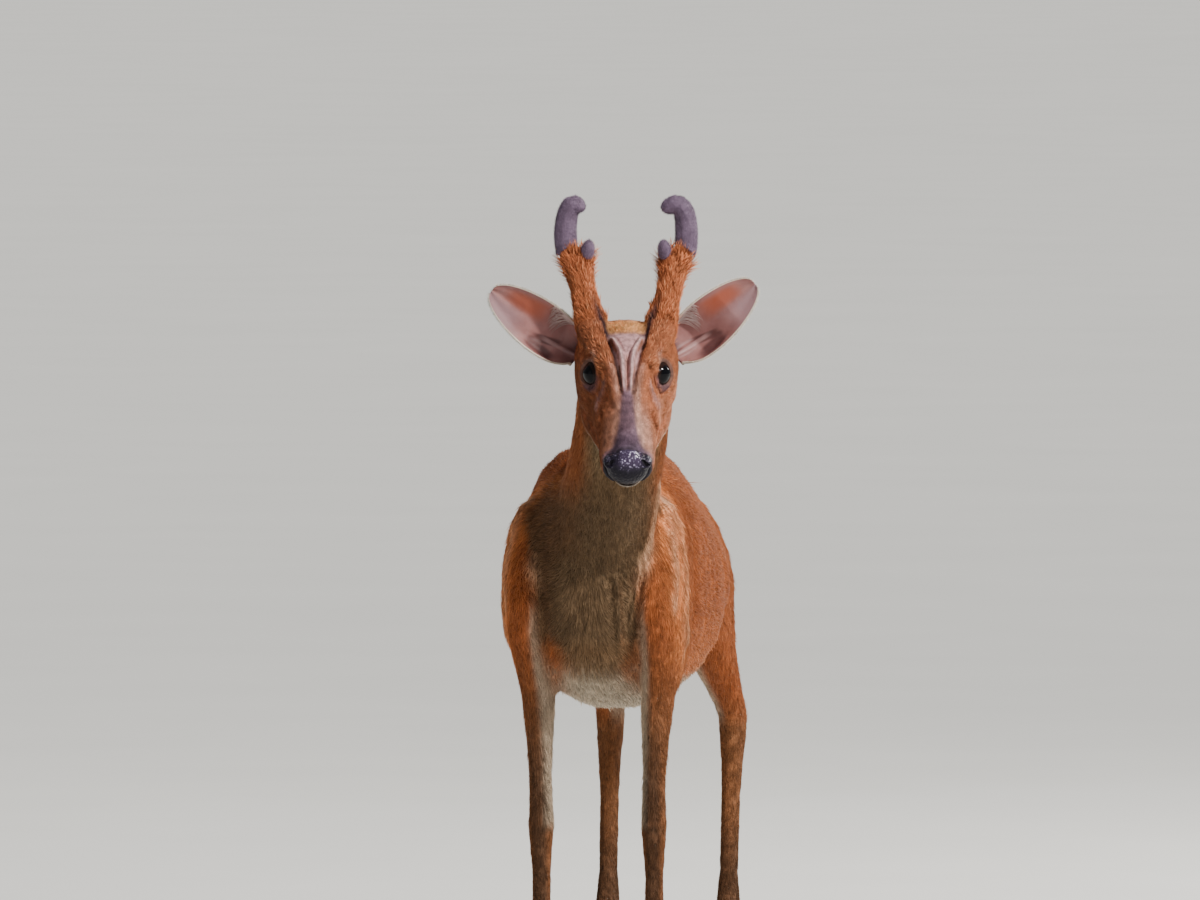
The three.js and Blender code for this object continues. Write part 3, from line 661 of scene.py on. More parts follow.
fore_upper = share_of("foreleg_left_upper", "foreleg_right_upper")
fore_lower = share_of("foreleg_left_lower", "foreleg_right_lower", rounds=5)
hind_upper = share_of("hindleg_left_upper", "hindleg_right_upper")
hind_lower = share_of("hindleg_left_lower", "hindleg_right_lower", rounds=5)
tail_share = share_of("tail", rounds=4)
neck_share = share_of("neck", rounds=20)
head_share = share_of("head", rounds=8)
stalk_share = share_of("pedicle_left", "pedicle_right", rounds=5)
trunk_share = share_of("torso", rounds=20)
across, ahead, up = head_place(points)
x, y, z = points.T
normals = normals_of(skin_mesh)
stalk_run = np.array((14, 61, 35))  # of the left stalk, in the head's frame
stalk_lie = np.where(across[:, None] > 0, head_axes @ stalk_run, head_axes @ (stalk_run * (-1, 1, 1)))
face_lie = np.array(head_axes @ (0, 1, 0.1)) + np.sign(across)[:, None] * head_axes[:, 0] * 0.25
coat_parts = [  # how far each corner belongs, which way the hair runs there, and its length in m
    (trunk_share, (0, 1, -0.3), 0.0098),
    (neck_share, (-0.1, 0.55, -0.83), 0.0076),
    (head_share, face_lie, 0.0046),
    (stalk_share, stalk_lie, 0.0062),
    (fore_upper, (0, 0.35, -1), 0.0085),
    (hind_upper, (0, 0.5, -1), 0.0098),
    (fore_lower, (0, 0.05, -1), 0.0052),
    (hind_lower, (0, 0.05, -1), 0.0055),
    (tail_share, (0, 0.12, -1), 0.019),
]
lie = sum(share[:, None] * unit(np.array(run)) for share, run, _ in coat_parts)
lie = spread(lie, 6)
lie = unit(lie - normals * np.sum(lie * normals, axis=1)[:, None])

hair = sum(share * length for share, _, length in coat_parts)
belly = trunk_share * soft(-normals[:, 2], 0.3, 0.8)
hair += 0.004 * belly
muzzle = soft(ahead, 45, 85) * head_share
hair *= 1 - 0.5 * muzzle
eye_outward, eye_along, eye_high = eye_view(across, ahead, up)
beside_eye = soft(eye_outward, 0, 4) * (1 - soft(np.hypot(eye_along, eye_high), 10, 22)) * head_share
hair *= 1 - 0.5 * beside_eye
slit_across = np.interp(ahead, [p[1] for p in slit_path], [p[0] for p in slit_path])
between_slits = soft(slit_across + 1.5 - np.abs(across), 0, 3) * head_share
between_slits *= band(ahead, -34, -24, 44, 54)
between_slits *= soft(normals @ head_axes[:, 2], 0, 0.3)
hair *= 1 - 0.72 * between_slits
collar = stalk_share * soft(-ahead, 84, 100)
hair += 0.0052 * collar
hair = np.clip(spread(hair, 3), 0.0013, 0.03)
depth = 0.22 * hair  # of the hide under the coat's surface
nose_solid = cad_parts["nose"].data
nose_tree = tree_of(nose_solid, sloped_nose(points_of(nose_solid)))
nose_off = np.full(len(points), 1.0)  # from the nose, in m, far off unless it is near
for index in np.flatnonzero((ahead > 80) & (up > -55)):
    nose_off[index] = nose_tree.find_nearest(points[index])[3]
nose_cover = 1 - soft(nose_off, 0.0008, 0.0020)
above_pad = soft(up, -30, -20) * (nose_off < 0.02)
depth += 0.0030 * nose_cover * (1 - 0.7 * above_pad)
put_points(skin_mesh, opened_lids(points - normals * depth[:, None]))


# The coat's colours, the same on the hide and on the hair: rufous back and sides, a greyer neck and breast,
# pale belly, dark shanks, and the face's mauve triangle, orange brows and black stripes. Painted light is
# laid over them too: highlights on ridges, folds and above the eyes, and shade in slits, creases and the
# cheek's hollow.
rufous = (0.40, 0.112, 0.034)
deep_rufous = (0.25, 0.070, 0.024)
bright_rufous_and_highlight = (0.76, 0.250, 0.078)
olive_throat = (0.195, 0.128, 0.068)
upper_throat = (0.38, 0.290, 0.165)
dusky_breast = (0.160, 0.100, 0.054)
pale_belly = (0.60, 0.49, 0.36)
dark_shank = (0.070, 0.040, 0.024)
brown_leg = (0.24, 0.105, 0.045)
cream = (0.66, 0.55, 0.43)
white_hair = (0.82, 0.79, 0.73)
cheek_brown = (0.39, 0.135, 0.060)
brow_orange = (0.52, 0.175, 0.080)
crown_gold = (1.0, 0.500, 0.200)
mauve = (0.64, 0.370, 0.370)
bridge_mauve = (0.24, 0.142, 0.180)
bridge_dark = (0.135, 0.086, 0.130)
muzzle_pink_and_highlight = (0.76, 0.460, 0.370)
fold_highlight = (0.74, 0.52, 0.50)
crease_shade = (0.085, 0.035, 0.028)
stalk_orange = (0.54, 0.168, 0.068)
ridge_highlight = (0.75, 0.420, 0.250)
stripe_black = (0.040, 0.022, 0.034)
eye_shade = (0.12, 0.070, 0.060)
gland_purple = (0.115, 0.060, 0.085)
gland_rim = (0.55, 0.400, 0.440)
hollow_shade = (0.20, 0.050, 0.022)
nose_black = (0.020, 0.017, 0.024)

colour = np.tile(np.array(rufous), (len(points), 1))


def dyed(amount, tone):
    """Lays a tone over the coat, as far as the amount says at each place."""
    global colour
    colour = colour + np.clip(amount, 0, 1)[:, None] * (np.array(tone) - colour)


# the trunk, the neck and the legs, by height and facing
sideways = np.abs(x - middle_line)
dyed(trunk_share * soft(normals[:, 2], 0.55, 0.95) * 0.6, deep_rufous)
# the lower trunk's own brighter rufous
dyed(trunk_share * (1 - soft(z, 0.30, 0.36)) * 0.4, bright_rufous_and_highlight)
dyed(trunk_share * soft(-normals[:, 2], 0.45, 0.9) * (1 - soft(z, 0.30, 0.34)), pale_belly)
dyed(neck_share * 0.2, olive_throat)
front = soft(-(normals @ np.array((-0.15, 1, 0.25))), 0.15, 0.75)
throat = soft(-(normals @ np.array((-0.25, 0.95, 0.2))), 0.35, 0.85)
dyed((neck_share + trunk_share * soft(-y, 0.12, 0.16)) * throat * 0.9, olive_throat)
dyed(neck_share * throat * soft(z, 0.47, 0.53) * 0.5, upper_throat)
dyed((fore_upper + fore_lower) * soft(-z, -0.36, -0.24) * 0.8, brown_leg)
inner = soft(-normals[:, 0] * np.sign(x - middle_line), 0.2, 0.8)
dyed((fore_upper + hind_upper) * inner * soft(-z, -0.40, -0.33) * 0.75, pale_belly)
dyed((fore_upper + fore_lower) * soft(-normals[:, 1], 0.3, 0.9) * soft(-z, -0.30, -0.2) * 0.75, dark_shank)
dyed(hind_upper * soft(-z, -0.27, -0.22) * 0.6, brown_leg)
dyed(hind_lower * 0.85, brown_leg)
dyed(hind_lower * soft(-z, -0.17, -0.08) * 0.7, dark_shank)
dyed(fore_lower * soft(-z, -0.14, -0.05) * 0.6, dark_shank)
dyed((fore_lower + hind_lower) * soft(-normals[:, 1], 0.5, 0.9) * hump(z - 0.032, 0.010) * 0.7, cream)
dyed(tail_share * soft(-normals[:, 1], 0.0, 0.5), white_hair)
dyed((hind_upper + trunk_share) * soft(y, 0.325, 0.352) * hump(sideways, 0.03) * 0.85, white_hair)

# the shoulder's ridges and the neck's foot, with painted highlights, and the edge of the dusky breast
from_middle = np.stack((sideways, y, z), axis=1)
outer_side = soft(normals[:, 0] * np.sign(x - middle_line), 0.0, 0.5)
blade_front, _ = from_path(from_middle, shoulder_front)
blade_back, _ = from_path(from_middle, shoulder_back)
# painted highlights: broad bright rufous over the shoulder's ridges and on the lit shoulder between them
dyed(hump(blade_front, 0.016) * 0.8 + hump(blade_back, 0.016) * 0.8, bright_rufous_and_highlight)
lit_shoulder = outer_side * band(y, -0.150, -0.135, -0.12, -0.10) * soft(z, 0.30, 0.34)
dyed(lit_shoulder * (1 - soft(z, 0.47, 0.49)) * 0.75, bright_rufous_and_highlight)
# thin painted highlights along the crests of the shoulder's two ridges
dyed((hump(blade_front, 0.0055) + hump(blade_back, 0.006)) * 0.75, ridge_highlight)
foot, _ = from_path(from_middle, neck_foot)
foot_side = np.interp(z, [p[2] for p in neck_foot[::-1]], [p[0] for p in neck_foot[::-1]])
bib = soft(foot_side - sideways, -0.002, 0.003) * soft(-y, 0.10, 0.13) * soft(z, 0.325, 0.345)
dyed(bib * (1 - soft(z, 0.45, 0.50)) * 0.85, dusky_breast)
# a painted highlight along the lit edge of the ridge at the neck's foot
dyed(hump(foot, 0.0048) * (1 - soft(z, 0.47, 0.49)), ridge_highlight)

# the face, in the head's frame
side = np.abs(across)
facing_up = normals @ head_axes[:, 2]
head_top = head_share * soft(facing_up, 0.0, 0.5)
dyed(head_share, cheek_brown)
under_jaw = soft(-facing_up, 0.25, 0.7)
dyed(head_share * under_jaw * soft(-up, 34, 44) * soft(ahead, -50, -10), cream)
dyed(head_top * soft(-ahead, -70, -40), brow_orange)
flat = np.stack((side, ahead), axis=1)
solid_place = np.stack((side, ahead, up), axis=1)
dyed(stalk_share, stalk_orange)
slit, along_slit = from_path(flat, slit_path)
within = spread((side < slit_across).astype(float), 3)
dyed(head_top * within * band(ahead, -36, -26, 40, 50), mauve)
crown_run = band(-ahead, 25, 33, 48, 70)
dyed(head_top * crown_run * soft(20 - side, 0, 6), crown_gold)
bridge_half = np.interp(ahead, [30, 50, 70, 90, 100], [3.0, 5.0, 7.0, 9.5, 15])
bridge_top = soft(facing_up, 0.1, 0.5) * soft(ahead, 28, 44)
beside_bridge = soft(bridge_half + 6 - side, -2.0, 2.0) * bridge_top
# painted light: the pink beside the bridge is laid more strongly on the animal's left, the side towards the
# high light
lit_side = 0.45 + 0.55 * soft(across, -4, 2)
dyed(head_share * beside_bridge * 0.6 * lit_side, muzzle_pink_and_highlight)
muzzle_side = soft(bridge_half + 15 - side, -3, 5) * bridge_top * soft(ahead, 40, 72)
dyed(head_share * muzzle_side * 0.5 * lit_side, muzzle_pink_and_highlight)
beside_slit, _ = from_path(flat, [(12, 16), (10, 28), (8.5, 42)])
dyed(head_top * hump(beside_slit, 4.0) * 0.45, muzzle_pink_and_highlight)
dyed(head_share * soft(bridge_half - side, -2.0, 1.5) * bridge_top, bridge_mauve)
end_of_bridge = soft(bridge_half + 3 - side, -3.0, 1.5) * bridge_top * soft(ahead, 76, 97)
dyed(head_share * end_of_bridge * 0.9, bridge_dark)
fold, along_fold = from_path(flat, fold_path)
# painted shade in the groove carved beside each fold
dyed(head_top * hump(fold - 3.4, 1.0) * 0.3 * (1 - along_fold), crease_shade)
# a painted highlight along the crest of each fold
dyed(head_top * hump(fold, 1.8) * 0.7 * (1 - 0.4 * along_fold), fold_highlight)
dyed(head_top * hump(side, 1.5) * band(ahead, -4, 6, 34, 46) * 0.45, cheek_brown)
# painted shade in the slits carved outside the folds
dyed(head_top * hump(slit, 1.1) * soft(along_slit, 0.0, 0.2) * 0.75, crease_shade)
stripe_path = [(16.2, -18, 26), (20, -42, 28), (24, -57, 37), (28, -68, 44), (34, -78, 50.6)]
stripe, along_stripe = from_path(solid_place, stripe_path)
stripe_width = 3.4 + 2.4 * along_stripe
fading = band(along_stripe, 0.0, 0.12, 0.45, 0.9)
dyed((head_share + stalk_share) * hump(stripe, stripe_width) * fading, stripe_black)
# glands, lids, lips and the nose's edge
gland, _ = from_path(solid_place, gland_path)
dyed(head_share * hump(gland, 3.2) * 0.6, gland_rim)
dyed(head_share * hump(gland, 1.7) * 0.95, gland_purple)
hollow, _ = from_path(solid_place, hollow_path)
# painted shade in the cheek's carved hollow and its creases
dyed(head_share * (0.4 * hump(hollow, 5.0) + 0.6 * hump(hollow, 2.2)), hollow_shade)
edge = lid_edge(eye_along, eye_high)
around = soft(eye_outward, 2, 6) * head_share
dyed(around * hump(edge - 0.3, 1.5) * 0.9, eye_shade)
dyed(around * hump(edge - 2.0, 2.4) * soft(eye_along, 4, 10) * 0.8, gland_purple)
# a painted highlight on the bulge above each eye
dyed(head_share * hump(np.linalg.norm(solid_place - (32, 0, 20), axis=1), 4.5) * 0.9, muzzle_pink_and_highlight)
gap = up - mouth_level(ahead)
lips = soft(ahead, mouth_corner - 4, mouth_corner + 6)
dyed(head_share * lips * soft(-gap, -3.5, 0) * soft(ahead, 60, 84), cream)
# painted shade in the slit carved between the lips
dyed(head_share * lips * hump(gap, 1.2), crease_shade)
dyed((1 - soft(nose_off, 0.0012, 0.0050)) * (0.35 + 0.5 * above_pad), bridge_dark)
dyed(spread(nose_cover, 2) * 1.3 * (1 - above_pad), nose_black)
beside_nostrils = 1 - 0.5 * above_pad * (1 - soft(side, 7, 10))
nose_end = soft(ahead, nose_black_from, nose_black_from + 3) * soft(24 - side, 0, 3) * soft(up, -46, -42)
dyed(nose_end * beside_nostrils, nose_black)
colour = spread(colour, 1)


def carry(mesh, name, kind, values):
    """Gives each corner of a mesh a number, vector or colour under a name."""
    field = {"FLOAT": "value", "FLOAT_VECTOR": "vector", "FLOAT_COLOR": "color"}[kind]
    if kind == "FLOAT_COLOR":
        values = np.concatenate((values, np.ones((len(values), 1))), axis=1)
    layer = mesh.attributes.new(name, kind, "POINT")
    layer.data.foreach_set(field, values.astype(np.float32).ravel())


carry(skin_mesh, "tone", "FLOAT_COLOR", colour)
carry(skin_mesh, "lie", "FLOAT_VECTOR", lie)
carry(skin_mesh, "hair", "FLOAT", hair)


def coat_finish(name, tufted, paleness=0.09, tip_colour=(0.84, 0.48, 0.26, 1)):
    """Hair colour, mottled and in locks. On tufts it is darker at the root and paler at the tip. On the hide
    it is darker than on the hair, a painted shade of the depth among the tufts.
    """
    finish = Finish(name)
    tone = finish.mark("tone", "Color")
    base = finish.mark("base", "Vector") if tufted else finish.place()
    patches = finish.noise(base, 30.0, 3.0)
    locks = finish.noise(base, 210.0, 2.0, 0.6)
    shade = 0.60 + 0.34 * patches + 0.56 * locks.between(0.3, 0.7)
    if tufted:
        tip = finish.mark("run").between(0.25, 1.0)
        chance = finish.mark("chance")
        shade = shade * (0.70 + 0.50 * tip) * (0.78 + 0.50 * chance)
        colour_wire = finish.vector("SCALE", tone, shade)
        colour_wire = finish.tint(tip * chance.between(0.4, 1.0) * paleness, colour_wire, tip_colour)
        return finish.set(Base_Color=colour_wire, Roughness=0.60, Specular_IOR_Level=0.11)
    streaks = finish.noise(base, 900.0, 2.0)
    # the hide painted darker than the hair over it: painted shade among the tufts
    colour_wire = finish.vector("SCALE", tone, shade * 0.72)
    bump = finish.bump(streaks, strength=0.5, distance=0.0006)
    return finish.set(Base_Color=colour_wire, Roughness=0.75, Specular_IOR_Level=0.15, Normal=bump)


def stand(mesh, name, finish=None, replaced=()):
    """Puts a mesh in the scene as a piece of the animal, smooth where it is given a finish."""
    mesh.name = name
    if finish is not None:
        mesh.materials.clear()
        mesh.materials.append(finish)
        mesh.shade_smooth()
    piece = bpy.data.objects.new(name, mesh)
    scene.collection.objects.link(piece)
    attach(piece, "root")
    if replaced:
        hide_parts(*replaced)
    return piece


stand(skin_mesh, "skin", coat_finish("hide", False), flesh)


# The coat: hundreds of thousands of short tufts, thin and pointed, set over the hide along its lie
# and leaning a little off it. Each region of the body is one piece.
def wound(rows, count, first=0):
    """Faces between rows of corners, each row closed on itself."""
    faces = []
    for row in range(rows):
        for k in range(count):
            a = first + row * count + k
            b = first + row * count + (k + 1) % count
            faces.append((a, b, b + count, a + count))
    return faces


def tuft_mesh(name, bands, bow):
    """A pointed three-sided tuft one unit long and one wide, bowed back towards the skin."""
    points = []
    for band in range(bands):
        t = band / bands
        width = 0.5 * (1 - t) ** 0.7
        lean = bow * t * t
        points += [(-width, lean, t), (width, lean, t), (0, lean + 0.7 * width, t)]
    points.append((0, bow, 1))
    last = (bands - 1) * 3
    faces = [(0, 2, 1)] + wound(bands - 1, 3)
    faces += [(last + k, last + (k + 1) % 3, len(points) - 1) for k in range(3)]
    mesh = bpy.data.meshes.new(name)
    mesh.from_pydata(points, [], faces)
    mesh.shade_smooth()
    place = np.array([(p[0] + 0.5, p[2]) for p in points])
    carry(mesh, "run", "FLOAT", np.array([p[2] for p in points]))
    carry(mesh, "patch", "FLOAT_VECTOR", np.concatenate((place, np.zeros((len(points), 1))), axis=1))
    return mesh


def coat_tree():
    """The tree that plants tufts on a piece of hide."""
    tree = bpy.data.node_groups.new("coat", "GeometryNodeTree")
    kinds = {"Hide": "Geometry", "Tuft": "Object", "Seed": "Int", "Finish": "Material"}
    for name in ("Tufts", "Long", "Width", "Lift", "Stray", "Wave"):
        kinds[name] = "Float"
    for name, kind in kinds.items():
        tree.interface.new_socket(name, in_out="INPUT", socket_type=f"NodeSocket{kind}")
    tree.interface.new_socket("Coat", in_out="OUTPUT", socket_type="NodeSocketGeometry")
    bench = Bench(tree)
    entry = tree.nodes.new("NodeGroupInput")
    given = {name: Wire(bench, entry.outputs[name]) for name in kinds}

    def named(name, kind):
        return bench.put("GeometryNodeInputNamedAttribute", {"data_type": kind}, {"Name": name})

    def stored(geometry, name, kind, domain, value):
        settings = {"data_type": kind, "domain": domain}
        sockets = {"Geometry": geometry, "Name": name, "Value": value}
        return bench.put("GeometryNodeStoreNamedAttribute", settings, sockets)

    def chance(low, high, step):
        sockets = {2: low, 3: high, 8: given["Seed"] + step}
        return bench.put("FunctionNodeRandomValue", {"data_type": "FLOAT"}, sockets, 1)

    hair = named("hair", "FLOAT")
    least, usual = 0.003, 0.01
    counted = bench.put("ShaderNodeMath", {"operation": "MAXIMUM"}, {0: hair, 1: least})
    amount = given["Tufts"] * (usual**2 * counted ** -2.0)
    planted = bench.put(
        "GeometryNodeDistributePointsOnFaces", {"distribute_method": "RANDOM"},
        {"Mesh": given["Hide"], "Density": amount, "Seed": given["Seed"]},
    )
    normal = Wire(bench, planted.socket.node.outputs["Normal"])
    spot = bench.put("GeometryNodeInputPosition")
    roots = stored(planted, "chance", "FLOAT", "POINT", chance(0.0, 1.0, 1))
    roots = stored(roots, "base", "FLOAT_VECTOR", "POINT", spot)
    swirl = bench.put("ShaderNodeTexNoise", {}, {"Vector": spot, "Scale": 95.0, "Detail": 1.0}, "Color")
    swirl = bench.vector("SUBTRACT", swirl, (0.5, 0.5, 0.5))
    swirl = bench.vector("SCALE", swirl, given["Wave"])
    lifted = bench.vector("ADD", bench.vector("SCALE", normal, given["Lift"]), swirl)
    loose = bench.put(
        "FunctionNodeRandomValue", {"data_type": "FLOAT_VECTOR"},
        {0: (-1.0, -1.0, -1.0), 1: (1.0, 1.0, 1.0), 8: given["Seed"] + 2},
    )
    loose = bench.vector("SCALE", loose, given["Stray"])
    aim = bench.vector("ADD", named("lie", "FLOAT_VECTOR"), lifted)
    aim = bench.vector("ADD", aim, loose)
    turn = bench.put("FunctionNodeAlignRotationToVector", {"axis": "Z"}, {"Vector": aim})
    settings = {"axis": "Y", "pivot_axis": "Z"}
    turn = bench.put("FunctionNodeAlignRotationToVector", settings, {"Rotation": turn, "Vector": normal})
    length = hair * given["Long"]
    stretch = length * chance(0.7, 1.2, 3)
    thick = given["Width"] * length * chance(0.7, 1.3, 4)
    size = bench.put("ShaderNodeCombineXYZ", {}, {"X": thick, "Y": thick, "Z": stretch})
    tuft = bench.put("GeometryNodeObjectInfo", {}, {"Object": given["Tuft"]}, "Geometry")
    sockets = {"Points": roots, "Instance": tuft, "Rotation": turn, "Scale": size}
    grown = bench.put("GeometryNodeInstanceOnPoints", {}, sockets)
    solid = bench.put("GeometryNodeRealizeInstances", {}, {"Geometry": grown})
    tuft_on_map = 0.003
    patch = bench.vector("SCALE", named("patch", "FLOAT_VECTOR"), tuft_on_map)
    flat_place = bench.vector("ADD", named("root", "FLOAT_VECTOR"), patch)
    mapped = stored(solid, "OFBake", "FLOAT2", "CORNER", flat_place)
    dressed = bench.put("GeometryNodeSetMaterial", {}, {"Geometry": mapped, "Material": given["Finish"]})
    leave = tree.nodes.new("NodeGroupOutput")
    tree.links.new(dressed.socket, leave.inputs["Coat"])
    return tree


def region_of(mesh, chosen):
    """A copy of the faces that pass, with each face's place on a flat map cut from six sides."""
    shape = bmesh.new()
    shape.from_mesh(mesh)
    shape.faces.ensure_lookup_table()
    lost = [face for face in shape.faces if not chosen[face.index]]
    bmesh.ops.delete(shape, geom=lost, context="FACES")
    part = bpy.data.meshes.new("region")
    shape.to_mesh(part)
    shape.free()
    corners = points_of(part)
    low = corners.min(axis=0)
    span = (corners.max(axis=0) - low).max()
    loops = read(part.loops, "vertex_index", kind=np.int32)
    sizes = read(part.polygons, "loop_total", kind=np.int32)
    facing = read(part.polygons, "normal", 3)
    axis = np.abs(facing).argmax(axis=1)
    sign = facing[np.arange(len(axis)), axis] > 0
    axis = np.repeat(axis, sizes)
    sign = np.repeat(sign, sizes)
    values = ((corners - low) / span)[loops]
    u = np.where(axis == 0, values[:, 1], values[:, 0])
    v = np.where(axis == 2, values[:, 1], values[:, 2])
    margin = 0.02  # round each of the six sides on the map
    u = (axis + margin + (1 - 2 * margin) * u) / 3
    v = (sign + margin + (1 - 2 * margin) * v) / 2
    layer = part.attributes.new("root", "FLOAT_VECTOR", "CORNER")
    layer.data.foreach_set("vector", np.stack((u, v, 0 * u), axis=1).astype(np.float32).ravel())
    return part


def grow(name, mesh, slot="coat", **manner):
    """Plants tufts on a region of hide, in a manner given by the tree's inputs, and keeps them as a piece."""
    piece = bpy.data.objects.new("hide_region", mesh)
    scene.collection.objects.link(piece)
    change = piece.modifiers.new("coat", "NODES")
    change.node_group = planting
    for item in planting.interface.items_tree:
        if item.in_out == "INPUT" and item.name.lower() in manner:
            change[item.identifier] = manner[item.name.lower()]
    coat_mesh = made_plain(piece)
    for spare in ("root", "patch", "hair", "lie"):
        if spare in coat_mesh.attributes:
            coat_mesh.attributes.remove(coat_mesh.attributes[spare])
    return stand(coat_mesh, name)


planting = coat_tree()
short_tuft = bpy.data.objects.new("short_tuft", tuft_mesh("short_tuft", bands=1, bow=0.0))
long_tuft = bpy.data.objects.new("long_tuft", tuft_mesh("long_tuft", bands=2, bow=-0.12))
hair_finish = coat_finish("hair", True)
# the locks' tips much paler than the coat's: partly pale tips, partly painted highlights on the curled locks
lock_finish = coat_finish("locks", True, paleness=0.6)


face_corner = first_corners(skin_mesh)
face_home = home[face_corner]
face_point = points_of(skin_mesh)[face_corner]
face_across, face_ahead, face_up = head_place(face_point)


def homed(*names):
    """Which faces of the skin lie over some solids."""
    return np.isin(face_home, [flesh.index(name) for name in names])


face_slit = slit_across[face_corner]
brow_near, _ = from_path(solid_place, brow_path)
eye_out_face, eye_along_face, eye_high_face = eye_view(face_across, face_ahead, face_up)
bare = (eye_out_face > 0) & (lid_edge(eye_along_face, eye_high_face) < 1.0)
bare |= nose_cover[face_corner] > 0.3
bare |= (face_ahead > 98) & (face_up > -44) & (np.abs(face_across) < 23)
brows = homed("head") & (brow_near[face_corner] < 11)
stalks = homed("pedicle_left", "pedicle_right")
collars = collar[face_corner] > 0.25
sides = {"left": face_point[:, 0] > middle_line, "right": face_point[:, 0] <= middle_line}
waist = 0.06
ends = {"front": face_point[:, 1] < waist, "rear": face_point[:, 1] >= waist}
regions = {
    "coat_head_left": homed("head") & (face_across > 0) & ~bare,
    "coat_head_right": homed("head") & (face_across <= 0) & ~bare,
    "coat_stalks": stalks & ~collars,
    "coat_collars": stalks & collars,
    "coat_neck": homed("neck"),
}
for end, at_end in ends.items():
    for side_name, at_side in sides.items():
        regions[f"coat_trunk_{end}_{side_name}"] = homed("torso") & at_side & at_end
for leg in ("foreleg", "hindleg"):
    for half in ("upper", "lower"):
        regions[f"coat_{leg}s_{half}"] = homed(f"{leg}_left_{half}", f"{leg}_right_{half}")
regions["coat_tail"] = homed("tail")
on_body = homed("torso", "foreleg_left_upper", "hindleg_left_upper")
regions["locks_body"] = on_body & (front[face_corner] < 0.4)
above_slits = brows & (face_ahead < 14) & (np.abs(face_across) > face_slit + 4)
regions["locks_brow"] = above_slits | (stalks & ~collars)


def manner(tuft, tufts, width, lift, stray, wave, long=1.0):
    """How tufts grow: how many, how wide for their length, how far off the hide, how unruly and wavy."""
    amounts = {"tufts": tufts, "width": width, "lift": lift, "stray": stray, "wave": wave, "long": long}
    return {"tuft": tuft, **amounts}


sleek = manner(short_tuft, 340000, width=0.075, lift=0.09, stray=0.09, wave=0.5)
faced = manner(short_tuft, 340000, width=0.085, lift=0.15, stray=0.14, wave=0.9)
rough = manner(long_tuft, 280000, width=0.10, lift=0.20, stray=0.2, wave=1.2)
shaggy = manner(long_tuft, 300000, width=0.085, lift=0.5, stray=0.42, wave=1.2)
lying = manner(long_tuft, 26000, width=0.07, lift=0.08, stray=0.05, wave=0.6, long=1.5)
curled = manner(long_tuft, 42000, width=0.11, lift=0.22, stray=0.22, wave=1.9, long=1.6)
manners = {
    "coat_stalks": rough,
    "coat_collars": shaggy,
    "coat_tail": shaggy,
    "coat_head_left": faced,
    "coat_head_right": faced,
    "locks_body": lying,
    "locks_brow": curled,
}
for seed, (name, chosen) in enumerate(regions.items()):
    finish = lock_finish if name.startswith("locks") else hair_finish
    hide = region_of(skin_mesh, chosen)
    grow(name, hide, finish=finish, seed=seed * 10 + 3, **manners.get(name, sleek))


# The eyes: dark wet balls with a wide pupil that can hardly be told from the iris, each between two lids
# whose bare rims are black above and carry a pale painted highlight below.
def facing_out(mesh, merged=0.0):
    """Turns a mesh's faces outward, after merging corners that lie closer than a distance."""
    shape = bmesh.new()
    shape.from_mesh(mesh)
    if merged:
        bmesh.ops.remove_doubles(shape, verts=shape.verts, dist=merged)
    bmesh.ops.recalc_face_normals(shape, faces=shape.faces)
    shape.to_mesh(mesh)
    shape.free()


def mesh_piece(name, points, faces, finish, replaced=()):
    """A piece from corners and faces, with its normals turned outward."""
    mesh = bpy.data.meshes.new(name)
    mesh.from_pydata([tuple(p) for p in points], [], faces)
    facing_out(mesh, 1e-6)
    return stand(mesh, name, finish, replaced)


eye_finish = Finish("eye")
from_pupil = eye_finish.mark("iris")
iris_noise = eye_finish.noise(eye_finish.place(), 900.0)
iris_colour = eye_finish.tint(iris_noise, (0.012, 0.006, 0.005, 1), (0.026, 0.013, 0.010, 1))
eye_colour = eye_finish.tint(from_pupil.between(0.55, 0.75), (0.003, 0.003, 0.004, 1), iris_colour)
eye_finish.set(Base_Color=eye_colour, Roughness=0.06, IOR=1.33, Specular_IOR_Level=0.3)
rim_finish = Finish("eye_rim")
rim_glint = rim_finish.mark("pale")
# the pale colour is a painted highlight on the wet lower rim
rim_colour = rim_finish.tint(rim_glint, (0.025, 0.018, 0.022, 1), (0.86, 0.76, 0.86, 1))
rim_noise = rim_finish.noise(rim_finish.place(), 1400.0)
rim_bump = rim_finish.bump(rim_noise, strength=0.3, distance=0.0003)
rim_finish.set(Base_Color=rim_colour, Roughness=0.3, Normal=rim_bump)

